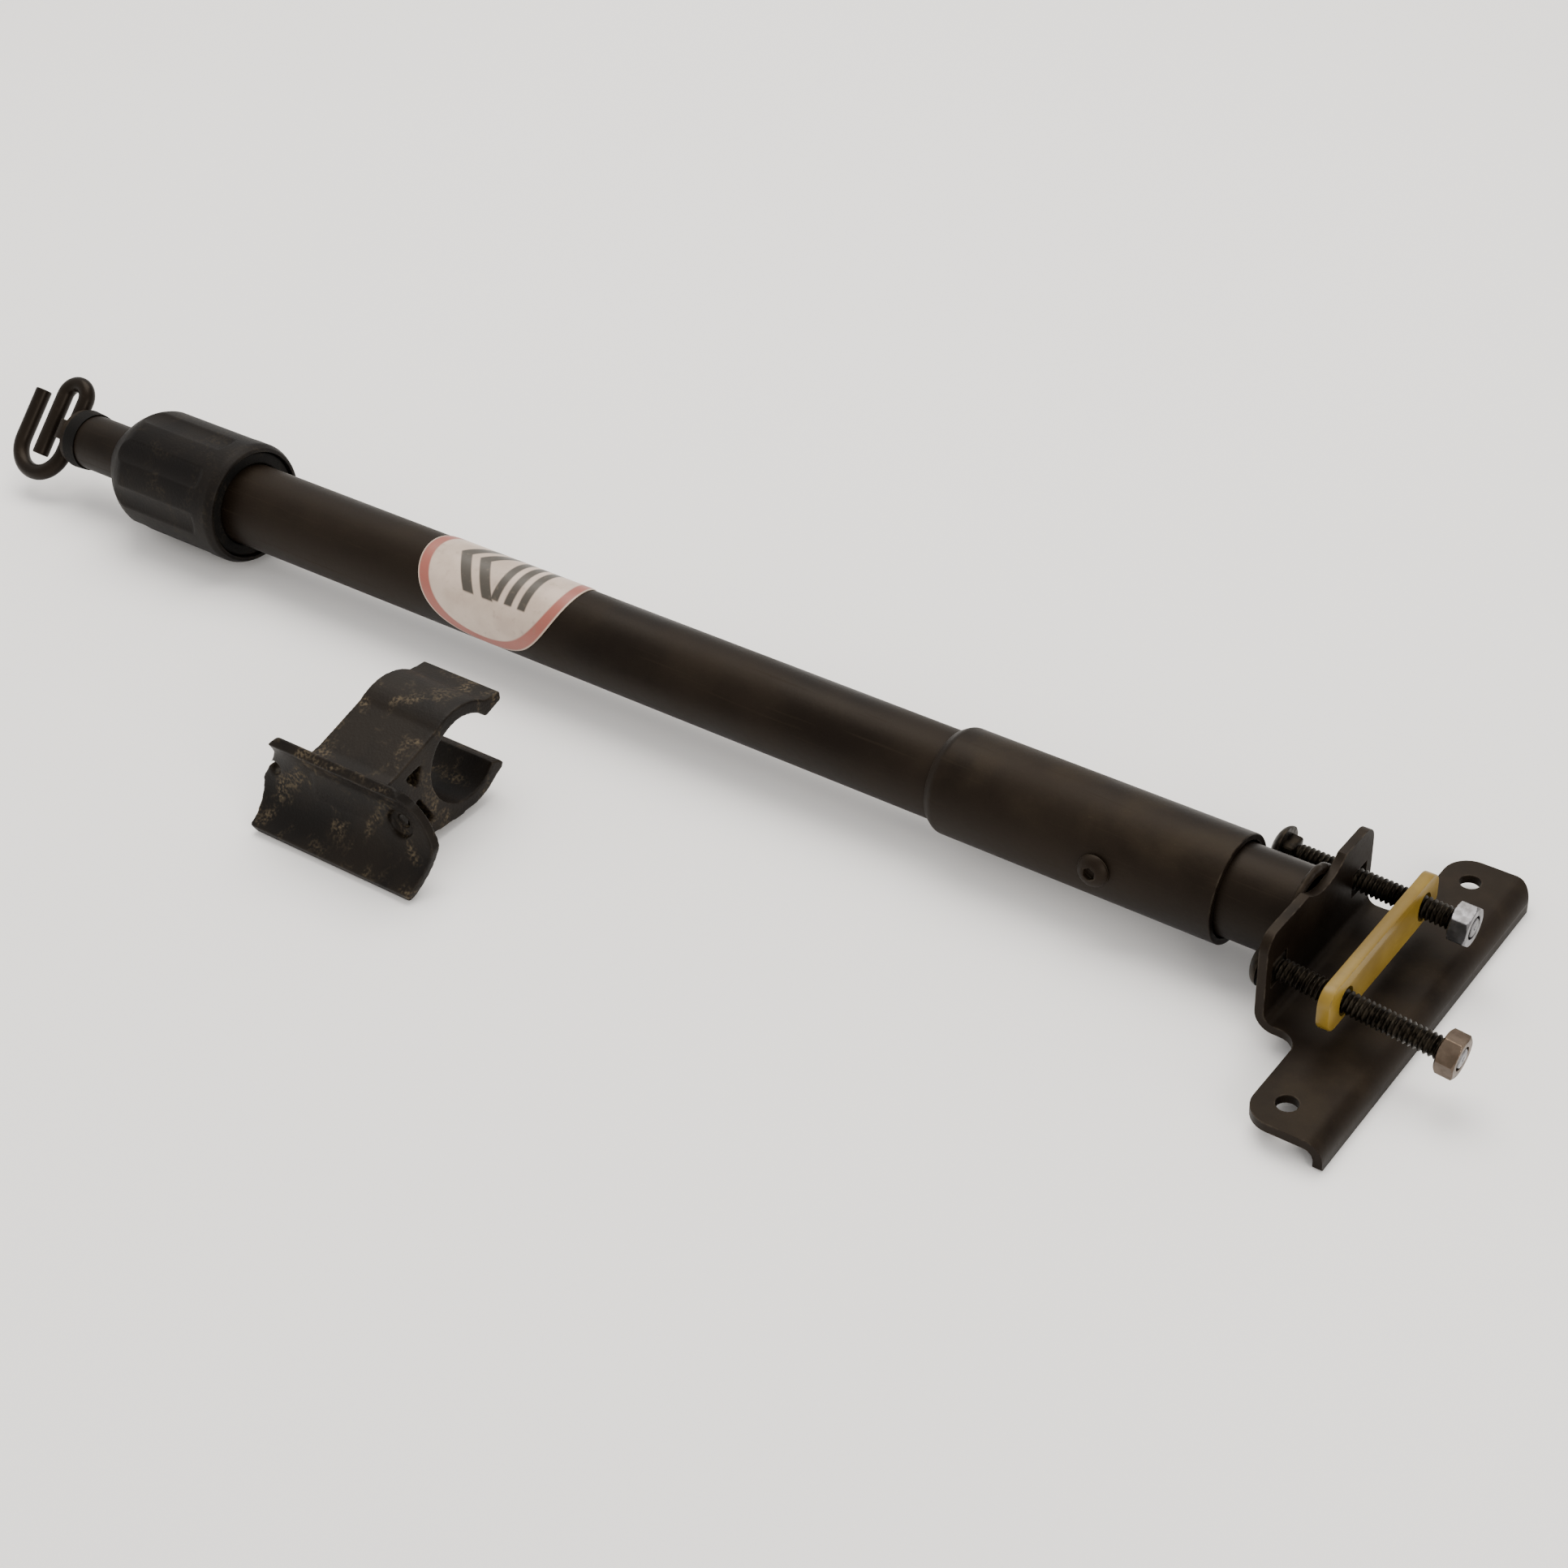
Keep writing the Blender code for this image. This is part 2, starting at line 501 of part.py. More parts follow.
def hook_path():
    """The wire's centre line: outer leg, wide bend, leg through the eye, tight bend, inner leg."""
    leg, out = hook_axis(), Vector((-1.0, 0.0, 0.0))
    centre = Vector((EYE_X, 0.0, AXIS_Z))

    def point(across, up):
        return centre + out * across + leg * up
    points = [point(2 * BIG_BEND, -LEG_DOWN + LEG_OUTER * k / 3) for k in (3, 2, 1)]
    steps = 14
    points += [point(BIG_BEND + BIG_BEND * math.cos(t), -LEG_DOWN - BIG_BEND * math.sin(t))
               for t in (math.pi * i / steps for i in range(steps + 1))]
    points += [point(0.0, -LEG_DOWN + (LEG_DOWN + LEG_UP) * k / 3) for k in (1, 2)]
    steps = 12
    points += [point(SMALL_BEND - SMALL_BEND * math.cos(t), LEG_UP + SMALL_BEND * math.sin(t))
               for t in (math.pi * i / steps for i in range(steps + 1))]
    points += [point(2 * SMALL_BEND, LEG_UP - LEG_INNER * k / 3) for k in (1, 2, 3)]
    return points


def make_hook():
    """The bent wire, a round section carried along its centre line."""
    curve = bpy.data.curves.new("hook_wire", "CURVE")
    curve.dimensions = "3D"
    curve.bevel_depth = WIRE_R
    curve.bevel_resolution = 3
    curve.use_fill_caps = True
    points = hook_path()
    spline = curve.splines.new("POLY")
    spline.points.add(len(points) - 1)
    for slot, point in zip(spline.points, points):
        slot.co = (*point, 1.0)
    curve.materials.append(BLACK_PAINT)
    bpy.context.scene.collection.objects.link(bpy.data.objects.new("hook_wire", curve))


# ---- clamp --------------------------------------------------------------------------------
def make_clamp_bar():
    """The flat bar with rounded corners that the two bolts draw towards the flange."""
    r = BAR_CORNER
    outline = arc((BAR_FAR - r, BAR_LOW + r), r, -90, 0, 6) + arc((BAR_FAR - r, BAR_HIGH - r), r, 0, 90, 6)
    outline += arc((BAR_NEAR + r, BAR_HIGH - r), r, 90, 180, 6) + arc((BAR_NEAR + r, BAR_LOW + r), r, 180, 270, 6)
    bar = place("clamp_bar", prism("clamp_bar", outline, "X", BAR_X, BAR_X + BAR_T), YELLOW_PAINT)
    soften(bar, 0.0005, 2, 60.0)
    x = BAR_X + BAR_T / 2
    reach = x - FLANGE_X - SHEET / 2
    for side_name, sign, drop, droop in (("near", -1, 0.0, NEAR_DROOP), ("far", 1, FAR_DROP, FAR_DROOP)):
        y, z = sign * BOLT_Y, BOLT_Z - drop - reach * math.tan(droop)
        hole_r = BOLT_R + BAR_HOLE_GAP
        slot = arc((y, z + BAR_PLAY), hole_r, 0, 180, 12) + arc((y, z - BAR_PLAY), hole_r, 180, 360, 12)
        drill = prism("slot", slot, "X", x - 0.01, x + 0.01)
        boolean(bar, "DIFFERENCE", helper("bar_hole_" + side_name, drill))


def hang(pieces, pivot, droop):
    """Parent pieces to an empty in the flange's hole and tip it so that their far ends drop."""
    empty = bpy.data.objects.new("hang_" + pieces[0].name, None)
    bpy.context.scene.collection.objects.link(empty)
    empty.location = pivot
    empty.rotation_euler = (0.0, droop, 0.0)
    for piece in pieces:
        piece.parent = empty
        piece.matrix_parent_inverse = Matrix.Translation(-Vector(pivot))


def make_bolt(side_name, sign, slip, drop, droop, turn):
    """Carriage bolt: domed head, square neck, plain cylinder where the thread is, and its nut."""
    centre = (sign * BOLT_Y, BOLT_Z - drop)
    base = FLANGE_X - GAP - slip
    dome = [(base - HEAD_H * math.sin(a), HEAD_R * math.cos(a)) for a in (math.radians(15 * i) for i in range(6))]
    tip = base + BOLT_LEN
    profile = [(tip, 0.0), (tip, BOLT_R - 0.0006), (tip - 0.0006, BOLT_R), (base, BOLT_R)] + dome
    profile.append((base - HEAD_H, 0.0))
    bolt = place("bolt_" + side_name, turned("bolt_" + side_name, profile, 24, centre), DARK_STEEL)
    half = NECK_SQ / 2
    low, high = (base - 0.0005, centre[0] - half, centre[1] - half), (base + NECK_LEN, centre[0] + half, centre[1] + half)
    neck = helper("square_neck_" + side_name, box("neck", low, high))
    boolean(bolt, "UNION", neck)

    right = tip + NUT_BACK
    corner = NUT_AF / 2 / math.cos(math.pi / 6)
    frame = along((right - NUT_H / 2, *centre), (1, 0, 0)) @ Matrix.Rotation(turn, 4, "Z")
    nut = place("nut_" + side_name, cylinder("nut_" + side_name, corner, NUT_H, frame, 6), ZINC)
    trim = [(right - NUT_H - 0.001, 0.0), (right - NUT_H - 0.001, corner - 0.0012), (right - NUT_H + 0.0007, corner + 0.0001),
            (right - 0.0007, corner + 0.0001), (right + 0.001, corner - 0.0012), (right + 0.001, 0.0)]
    cone = helper("nut_trim_" + side_name, turned("trim", trim, 36, centre))
    boolean(nut, "INTERSECT", cone)
    hole = helper("nut_hole_" + side_name, cylinder("drill", BOLT_R + GAP, 0.02, frame, 24))
    boolean(nut, "DIFFERENCE", hole)
    hang([bolt, nut, neck, cone, hole], (FLANGE_X + SHEET / 2, *centre), droop)


# ---- saddle clip --------------------------------------------------------------------------
def make_clip():
    """Snap clip for the tube on a curved screw-on saddle, moulded in one piece."""
    def offset(pairs):
        return [(CLIP_Y + y, CLIP_Z + z) for y, z in pairs]
    jaw = (CLIP_Y, CLIP_Z)
    ring = arc(jaw, CLIP_OUTER, 52, 310, 40) + offset([(0.0172, -0.0142), (0.0180, -0.0124), (0.0168, -0.0110)])
    ring += arc(jaw, CLIP_BORE, 324, 38, 40) + offset([(0.0208, 0.0126), (0.0204, 0.0158)])
    clip = place("saddle_clip", prism("jaw", ring, "X", CLIP_LEFT, CLIP_RIGHT), BLACK_NYLON)

    saddle = (SADDLE_Y, SADDLE_Z)
    plate = arc(saddle, SADDLE_R + SADDLE_T, SADDLE_LOW, SADDLE_HIGH, 20)
    plate += arc(saddle, SADDLE_R, SADDLE_HIGH, SADDLE_LOW, 20)
    plate = helper("saddle_plate", prism("saddle_plate", plate, "X", WAIST_LEFT - 0.001, WAIST_RIGHT + 0.001))
    outer, r, small = SADDLE_R + SADDLE_T, 0.0085, 0.0030
    high = SADDLE_Z + outer * math.sin(math.radians(SADDLE_HIGH)) + 0.0005
    low = SADDLE_Z + outer * math.sin(math.radians(SADDLE_LOW)) - 0.0005
    waist = SADDLE_Z - 0.0060
    ends = arc((LOW_LEFT + small, low + small), small, 270, 180, 4) + [(WAIST_LEFT, waist)]
    ends += arc((TOP_LEFT + r, high - r), r, 180, 90, 8) + arc((TOP_RIGHT - r, high - r), r, 90, 0, 8)
    ends += [(WAIST_RIGHT, waist)] + arc((LOW_RIGHT - small, low + small), small, 0, -90, 4)
    boolean(plate, "INTERSECT", helper("saddle_ends", prism("saddle_ends", ends, "Y", SADDLE_Y - 0.01, SADDLE_Y + 0.04)))
    boolean(clip, "UNION", plate)

    web = offset([(-0.0064, 0.0192), (-0.0325, 0.0110), (-0.0375, 0.0105), (-0.0375, -0.0175),
                  (-0.0153, -0.0208), (-0.0033, -0.0215)]) + arc(jaw, 0.0185, 261, 108, 16)
    web = helper("web", prism("web", web, "X", CLIP_LEFT, CLIP_RIGHT))
    openings = {
        "upper": [(-0.0195, 0.0092), (-0.0229, 0.0016), (-0.0278, 0.0075)],
        "lower": [(-0.0170, -0.0150), (-0.0228, -0.0030), (-0.0278, -0.0060), (-0.0310, -0.0138)],
    }
    for name, corners in openings.items():
        window = prism(name, offset(corners), "X", CLIP_LEFT - 0.01, CLIP_RIGHT + 0.01)
        boolean(web, "DIFFERENCE", helper(name + "_window", window))
    boolean(clip, "UNION", web)

    screw_z = SADDLE_Z - 0.0009
    for i, x in enumerate(CLIP_HOLES):
        middle = (x, SADDLE_Y + SADDLE_R, screw_z)
        drill = cylinder("drill", 0.0025, 0.02, along(middle, (0, 1, 0)), 20)
        boolean(clip, "DIFFERENCE", helper(f"clip_hole_{i}", drill))
    middle = (CLIP_HOLES[1], SADDLE_Y + SADDLE_R - 0.0035, screw_z)
    boolean(clip, "DIFFERENCE",
            helper("clip_counterbore", cylinder("counterbore", 0.00525, 0.010, along(middle, (0, 1, 0)), 28)))


make_bracket()
make_weld()
make_tubes()
make_label()
make_knob()
make_knob_ring()
make_lock()
make_rod()
make_rod_end()
make_hook()
make_clamp_bar()
make_bolt("near", -1, NEAR_SLIP, 0.0, NEAR_DROOP, NEAR_TURN)
make_bolt("far", 1, FAR_SLIP, FAR_DROP, FAR_DROOP, FAR_TURN)
make_clip()
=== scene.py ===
# %% [markdown]
# # A telescoping cargo bar, finished piece by piece
# The bar is two tubes that slide in each other, a twist knob that locks them, a bent-sheet clamp
# bracket with two long carriage bolts and a yellow pressure bar, a wire hook, and a loose clip that
# stores the bar on a wall.  The engineering solids come first and never move.  Every piece below is
# laid over them at the same place, and rides on the same body.

# %% Load the engineering frame
import math

import bmesh
import bpy
import numpy as np
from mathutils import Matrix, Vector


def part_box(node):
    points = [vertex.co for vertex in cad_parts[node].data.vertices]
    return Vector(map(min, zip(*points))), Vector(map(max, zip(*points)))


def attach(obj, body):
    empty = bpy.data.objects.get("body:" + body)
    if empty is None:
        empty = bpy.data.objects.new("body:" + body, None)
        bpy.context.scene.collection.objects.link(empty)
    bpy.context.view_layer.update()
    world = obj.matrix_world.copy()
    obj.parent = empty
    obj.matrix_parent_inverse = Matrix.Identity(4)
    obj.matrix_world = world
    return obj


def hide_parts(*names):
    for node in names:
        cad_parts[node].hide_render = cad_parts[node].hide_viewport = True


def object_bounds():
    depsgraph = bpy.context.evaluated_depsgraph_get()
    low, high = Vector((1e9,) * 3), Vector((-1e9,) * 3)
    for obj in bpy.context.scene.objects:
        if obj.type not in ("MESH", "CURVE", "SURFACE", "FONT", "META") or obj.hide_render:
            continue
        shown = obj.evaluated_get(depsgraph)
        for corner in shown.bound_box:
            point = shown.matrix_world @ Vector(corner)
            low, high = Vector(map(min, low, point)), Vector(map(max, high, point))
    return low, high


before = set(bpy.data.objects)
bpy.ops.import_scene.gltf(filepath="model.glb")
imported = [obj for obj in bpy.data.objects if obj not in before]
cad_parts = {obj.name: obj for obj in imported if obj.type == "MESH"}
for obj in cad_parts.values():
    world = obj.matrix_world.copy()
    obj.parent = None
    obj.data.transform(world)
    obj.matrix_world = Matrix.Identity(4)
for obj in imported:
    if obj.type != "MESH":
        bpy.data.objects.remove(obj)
cad_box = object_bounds()

# %% [markdown]
# ## Sizes
# Lengths and radii are read from the solids' boxes, so the surfaces made here can't drift away from
# them.  A round piece about the bar's axis has its radius as half of its box's width.

# %% Read the sizes
def span(node, axis):
    """Lowest and highest value of a solid along one axis, in metres."""
    low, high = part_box(node)
    return low[axis], high[axis]


def radius(node):
    """Half of a round solid's width across Y."""
    low, high = span(node, 1)
    return (high - low) / 2


TUBE_R, ROD_R, SLEEVE_R = radius("main_tube"), radius("inner_rod"), radius("sleeve")
WALL = 0.0015
AXIS = (0.0, sum(span("main_tube", 2)) / 2)
print(f"tube {2000 * TUBE_R:.1f} mm, rod {2000 * ROD_R:.1f} mm, sleeve {2000 * SLEEVE_R:.1f} mm, "
      f"axis {1000 * AXIS[1]:.1f} mm up")

# %% [markdown]
# ## From arrays to meshes
# A shape here is a grid of points.  Rows follow an outline, columns go round, and four neighbours
# make a face.  Merging the points that meet closes seams and poles, and the faces are then turned
# outwards.

# %% Grid helpers
def quads(rows, columns, wrap_rows=False, wrap_columns=True):
    """Corner numbers of every cell of a grid whose points are numbered row by row."""
    i = np.arange(rows if wrap_rows else rows - 1)[:, None]
    j = np.arange(columns if wrap_columns else columns - 1)[None, :]
    down, across = (i + 1) % rows, (j + 1) % columns
    corners = [i * columns + j, i * columns + across, down * columns + across, down * columns + j]
    return np.stack(corners, -1).reshape(-1, 4)


def tidy(mesh, smooth_angle):
    """Merge meeting points, turn faces outwards, and shade smooth except past an angle in degrees."""
    work = bmesh.new()
    work.from_mesh(mesh)
    bmesh.ops.remove_doubles(work, verts=work.verts, dist=2e-7)
    bmesh.ops.recalc_face_normals(work, faces=work.faces)
    work.to_mesh(mesh)
    work.free()
    mesh.shade_smooth()
    mesh.set_sharp_from_angle(angle=math.radians(smooth_angle))


def surface(name, points, faces, smooth_angle=40.0):
    """An object at the origin from an array of points and an array of faces."""
    mesh = bpy.data.meshes.new(name)
    mesh.from_pydata(points.reshape(-1, 3).tolist(), [], faces.tolist())
    tidy(mesh, smooth_angle)
    obj = bpy.data.objects.new(name, mesh)
    bpy.context.scene.collection.objects.link(obj)
    print(f"{name}: {len(mesh.polygons)} faces")
    return obj


def finish(obj, material, body, slot, *nodes):
    """Give a piece its finish, let it ride on its body, and stand in for its solids."""
    obj.data.materials.clear()
    obj.data.materials.append(material)
    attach(obj, body)
    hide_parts(*nodes)
    return obj


# %% Outline helpers
def rounded(corners, size=0.0003, steps=4):
    """Every corner of a closed outline becomes a curve.

    The curve runs between two points at distance size on the corner's two sides:
    (1-t)^2 a + 2t(1-t) corner + t^2 b.  A guard point past each end keeps the flats flat.
    """
    p = np.array(corners, float)
    size = np.broadcast_to(np.asarray(size, float), len(p))[:, None]
    back, ahead = np.roll(p, 1, 0) - p, np.roll(p, -1, 0) - p
    back_length = np.linalg.norm(back, axis=1, keepdims=True)
    ahead_length = np.linalg.norm(ahead, axis=1, keepdims=True)
    back, ahead = back / back_length, ahead / ahead_length
    reach = np.minimum(size, 0.4 * np.minimum(back_length, ahead_length))
    a, b = (p + back * reach)[:, None], (p + ahead * reach)[:, None]
    guard_a, guard_b = (p + back * reach * 1.2)[:, None], (p + ahead * reach * 1.2)[:, None]
    t = np.linspace(0.0, 1.0, steps + 1)[None, :, None]
    curve = (1 - t) ** 2 * a + 2 * t * (1 - t) * p[:, None] + t ** 2 * b
    return np.concatenate([guard_a, curve, guard_b], axis=1).reshape(-1, 2)


def dense(outline, spacing):
    """A closed outline walked again in equal steps no longer than spacing."""
    loop = np.vstack([outline, outline[:1]])
    length = np.concatenate([[0.0], np.cumsum(np.linalg.norm(np.diff(loop, axis=0), axis=1))])
    length, kept = np.unique(length, return_index=True)
    walk = np.unique(np.concatenate([np.arange(0.0, length[-1], spacing), length[:-1]]))
    return np.stack([np.interp(walk, length, loop[kept, k]) for k in (0, 1)], -1)


def around(name, outline, centre=AXIS, columns=128, shape=None, smooth_angle=40.0, move=None):
    """Turn an outline of (x, radius) about a line along X through centre (y, z).

    point = (x, y0 - r cos a, z0 + r sin a).  shape(x, a, r) may change the radius, and
    move(points) places the result.
    """
    x, r = outline[:, :1], outline[:, 1:]
    a = np.linspace(0.0, 2 * math.pi, columns, endpoint=False)[None, :]
    r = r + 0 * a if shape is None else shape(x, a, r + 0 * a)
    points = np.stack([x + 0 * a, centre[0] - r * np.cos(a), centre[1] + r * np.sin(a)], -1)
    points = points if move is None else move(points)
    return surface(name, points, quads(len(x), columns, wrap_rows=True), smooth_angle)


# %% [markdown]
# ## Finishes
# Each finish is built from noise at several sizes on Object coordinates: broad clouds for colour and
# gloss, fine grain for the bump, stretched noise for scratches.  The Bevel node's normal leaves the
# true one near an edge, so the gap between the two marks where paint wears.  Dust lies on what
# faces up.

# %% Node helpers
def node(tree, kind, inputs=None, **settings):
    """Add a node.  inputs maps a socket to a constant or to the socket that feeds it."""
    made = tree.nodes.new(kind)
    for key, value in settings.items():
        setattr(made, key, value)
    for key, value in (inputs or {}).items():
        if isinstance(value, bpy.types.NodeSocket):
            tree.links.new(value, made.inputs[key])
        else:
            made.inputs[key].default_value = value
    return made


def calc(tree, operation, a, b=0.0, c=None, clamp=False):
    """One step of arithmetic on sockets or numbers."""
    inputs = {0: a, 1: b} if c is None else {0: a, 1: b, 2: c}
    return node(tree, "ShaderNodeMath", inputs, operation=operation, use_clamp=clamp).outputs[0]


def noise(tree, scale, detail=3.0, stretch=(1, 1, 1), distortion=0.0):
    """Noise on Object coordinates, with the axes stretched."""
    place = node(tree, "ShaderNodeTexCoord").outputs["Object"]
    place = node(tree, "ShaderNodeMapping", {"Vector": place, "Scale": stretch}).outputs[0]
    inputs = {"Vector": place, "Scale": scale, "Detail": detail, "Distortion": distortion}
    return node(tree, "ShaderNodeTexNoise", inputs).outputs[0]


def step_up(tree, value, low, high, top=1.0):
    """0 below low, rising smoothly to top at high."""
    inputs = {"Value": value, "From Min": low, "From Max": high, "To Max": top}
    return node(tree, "ShaderNodeMapRange", inputs, interpolation_type="SMOOTHSTEP").outputs[0]


def blend(tree, factor, a, b):
    """Colour a where factor is 0, colour b where it is 1."""
    made = node(tree, "ShaderNodeMix", {"Factor": factor}, data_type="RGBA")
    for socket, value in ((made.inputs[6], a), (made.inputs[7], b)):
        if isinstance(value, bpy.types.NodeSocket):
            tree.links.new(value, socket)
        else:
            socket.default_value = (*value, 1.0)
    return made.outputs[2]


def edges(tree, width=0.0008):
    """About 1 on a sharp edge and 0 on a flat: how far the bevelled normal leaves the true one."""
    true = node(tree, "ShaderNodeNewGeometry").outputs["Normal"]
    soft = node(tree, "ShaderNodeBevel", {"Radius": width}, samples=4).outputs[0]
    match = node(tree, "ShaderNodeVectorMath", {0: true, 1: soft}, operation="DOT_PRODUCT").outputs["Value"]
    return step_up(tree, match, 0.995, 0.90)


def upward(tree):
    """1 on faces that look up, 0 on sides and undersides."""
    normal = node(tree, "ShaderNodeNewGeometry").outputs["Normal"]
    return step_up(tree, node(tree, "ShaderNodeSeparateXYZ", {0: normal}).outputs[2], 0.2, 1.0)


def start(name, roughness, metallic=0.0, specular=0.5):
    """A new material whose shader has these constants.  Returns it, its tree and its shader."""
    material = bpy.data.materials.new(name)
    material.use_nodes = True
    tree = material.node_tree
    shader = tree.nodes["Principled BSDF"]
    shader.inputs["Roughness"].default_value = roughness
    shader.inputs["Metallic"].default_value = metallic
    shader.inputs["Specular IOR Level"].default_value = specular
    return material, tree, shader


def bump(tree, shader, height, distance, strength=1.0):
    """Feed a height to the shader's normal."""
    made = node(tree, "ShaderNodeBump", {"Height": height, "Distance": distance, "Strength": strength})
    tree.links.new(made.outputs[0], shader.inputs["Normal"])


# %% [markdown]
# ### Black paint on steel
# Satin black that has gone slightly brown.  The orange peel is about a millimetre across and only a
# few micrometres high.  Fine scratches run along the bar because it is slid in and out.

# %% Black paint
def black_paint(name, low=(0.0030, 0.0016, 0.0009), high=(0.0085, 0.0056, 0.0036), gloss=(0.42, 0.56),
                dust=0.05, scratch=0.35, worn=0.35):
    """Satin black paint with clouds, scratches along X, dust on top and worn edges."""
    material, tree, shader = start(name, 0.4, specular=0.12)
    shader.inputs["Specular Tint"].default_value = (1.0, 0.85, 0.7, 1.0)
    clouds = noise(tree, 22.0, 5.0)
    colour = blend(tree, step_up(tree, clouds, 0.35, 0.65), low, high)
    lines = noise(tree, 1.0, 4.0, stretch=(24.0, 900.0, 900.0), distortion=0.3)
    lines = step_up(tree, lines, 0.60, 0.72, scratch)
    colour = blend(tree, calc(tree, "MULTIPLY", lines, 0.35), colour, (0.030, 0.022, 0.014))
    specks = step_up(tree, noise(tree, 1400.0, 2.0), 0.62, 0.75)
    film = calc(tree, "MULTIPLY", step_up(tree, noise(tree, 60.0, 6.0), 0.40, 0.70), upward(tree))
    speckle = calc(tree, "MULTIPLY_ADD", specks, 0.5, 0.5)
    film = calc(tree, "MULTIPLY", speckle, calc(tree, "MULTIPLY", film, dust))
    colour = blend(tree, film, colour, (0.10, 0.075, 0.045))
    rub = calc(tree, "MULTIPLY", edges(tree), step_up(tree, noise(tree, 260.0, 4.0), 0.42, 0.62, worn))
    colour = blend(tree, rub, colour, (0.050, 0.041, 0.030))
    tree.links.new(colour, shader.inputs["Base Color"])
    rough = calc(tree, "MULTIPLY_ADD", step_up(tree, clouds, 0.3, 0.7), gloss[1] - gloss[0], gloss[0])
    rough = calc(tree, "MULTIPLY_ADD", film, 0.6, calc(tree, "MULTIPLY_ADD", lines, 0.3, rough), clamp=True)
    tree.links.new(rough, shader.inputs["Roughness"])
    fine_peel = calc(tree, "MULTIPLY", noise(tree, 2600.0, 2.0), 0.25)
    peel = calc(tree, "MULTIPLY_ADD", noise(tree, 420.0, 2.0), 1.0, fine_peel)
    peel = calc(tree, "MULTIPLY_ADD", lines, -0.35, peel)
    bump(tree, shader, peel, 0.00006, 0.8)
    return material


PAINT = black_paint("satin_black_paint")
PAINT_WORN = black_paint("worn_black_paint", scratch=0.25, dust=0.16, worn=0.7)
ROD_PAINT = black_paint("rod_black_paint", low=(0.0028, 0.0016, 0.0010), high=(0.0075, 0.0052, 0.0035),
                        scratch=0.6)
WIRE_PAINT = black_paint("wire_black_paint", low=(0.0028, 0.0018, 0.0012), high=(0.0075, 0.0054, 0.0040),
                         gloss=(0.30, 0.42), dust=0.05, worn=0.0)
print("black paints:", PAINT.name, PAINT_WORN.name, ROD_PAINT.name, WIRE_PAINT.name)

# %% [markdown]
# ### Moulded nylon and rubber
# Spark-eroded moulds leave a fine grain.  The clip has lain about in a workshop, so tan dust has
# settled in its grain and its raised edges are scuffed pale.

# %% Nylon and rubber
def nylon(name, low, high, dust=0.2, dust_colour=(0.20, 0.155, 0.095), grain=1600.0, scuff=0.4, rough=0.55):
    """Black nylon with moulded grain, tan dust in patches and scuffed edges."""
    material, tree, shader = start(name, rough, specular=0.12)
    clouds = noise(tree, 45.0, 6.0)
    colour = blend(tree, step_up(tree, clouds, 0.35, 0.65), low, high)
    patches = step_up(tree, noise(tree, 95.0, 8.0, distortion=0.6), 0.48, 0.70)
    flecks = step_up(tree, noise(tree, 900.0, 3.0), 0.40, 0.68)
    film = calc(tree, "MULTIPLY", calc(tree, "MULTIPLY", patches, flecks), dust)
    colour = blend(tree, film, colour, dust_colour)
    scuffed = step_up(tree, noise(tree, 180.0, 5.0), 0.38, 0.62, scuff)
    rub = calc(tree, "MULTIPLY", edges(tree, 0.0011), scuffed)
    colour = blend(tree, rub, colour, (0.050, 0.039, 0.027))
    tree.links.new(colour, shader.inputs["Base Color"])
    tree.links.new(calc(tree, "MULTIPLY_ADD", film, 0.5, rough, clamp=True), shader.inputs["Roughness"])
    height = calc(tree, "MULTIPLY_ADD", noise(tree, grain, 2.0), 1.0, calc(tree, "MULTIPLY", flecks, 0.4))
    bump(tree, shader, height, 0.00008, 0.7)
    return material


KNOB_NYLON = nylon("knob_nylon", (0.0018, 0.0010, 0.0006), (0.0048, 0.0032, 0.0020), dust=0.05, scuff=0.30)
CLIP_NYLON = nylon("clip_nylon", (0.0030, 0.0019, 0.0011), (0.0080, 0.0054, 0.0032), dust=0.34, scuff=0.45,
                   rough=0.5)
HIDDEN_NYLON = nylon("inner_nylon", (0.02, 0.018, 0.015), (0.03, 0.027, 0.022), dust=0.0, scuff=0.0)
RUBBER = nylon("ring_rubber", (0.0012, 0.0010, 0.0008), (0.0025, 0.0020, 0.0016), dust=0.05, grain=2400.0,
               scuff=0.05, rough=0.7)
print("plastics:", KNOB_NYLON.name, CLIP_NYLON.name, HIDDEN_NYLON.name, RUBBER.name)

# %% [markdown]
# ### Plated and bare steel, and the yellow paint
# Zinc plate is a bright metal with a faint cloudy tint.  The bolts are darker, with oil and grime in
# their threads.  The yellow bar is brushed with thick enamel that is a little uneven and chips at
# its edges.

# %% Metals
def steel(name, low, high, rough=(0.25, 0.45), grime=0.0, fine=900.0):
    """A metal whose tint and gloss drift, with optional dark grime in its hollows."""
    material, tree, shader = start(name, rough[0], metallic=1.0)
    clouds = noise(tree, 160.0, 5.0)
    colour = blend(tree, step_up(tree, clouds, 0.35, 0.65), low, high)
    dirt = step_up(tree, noise(tree, 420.0, 6.0), 0.42, 0.62, grime)
    colour = blend(tree, dirt, colour, (0.035, 0.028, 0.02))
    tree.links.new(colour, shader.inputs["Base Color"])
    roughness = calc(tree, "MULTIPLY_ADD", clouds, rough[1] - rough[0], rough[0])
    tree.links.new(calc(tree, "MULTIPLY_ADD", dirt, 0.35, roughness, clamp=True), shader.inputs["Roughness"])
    bump(tree, shader, noise(tree, fine, 3.0), 0.00003, 0.6)
    return material


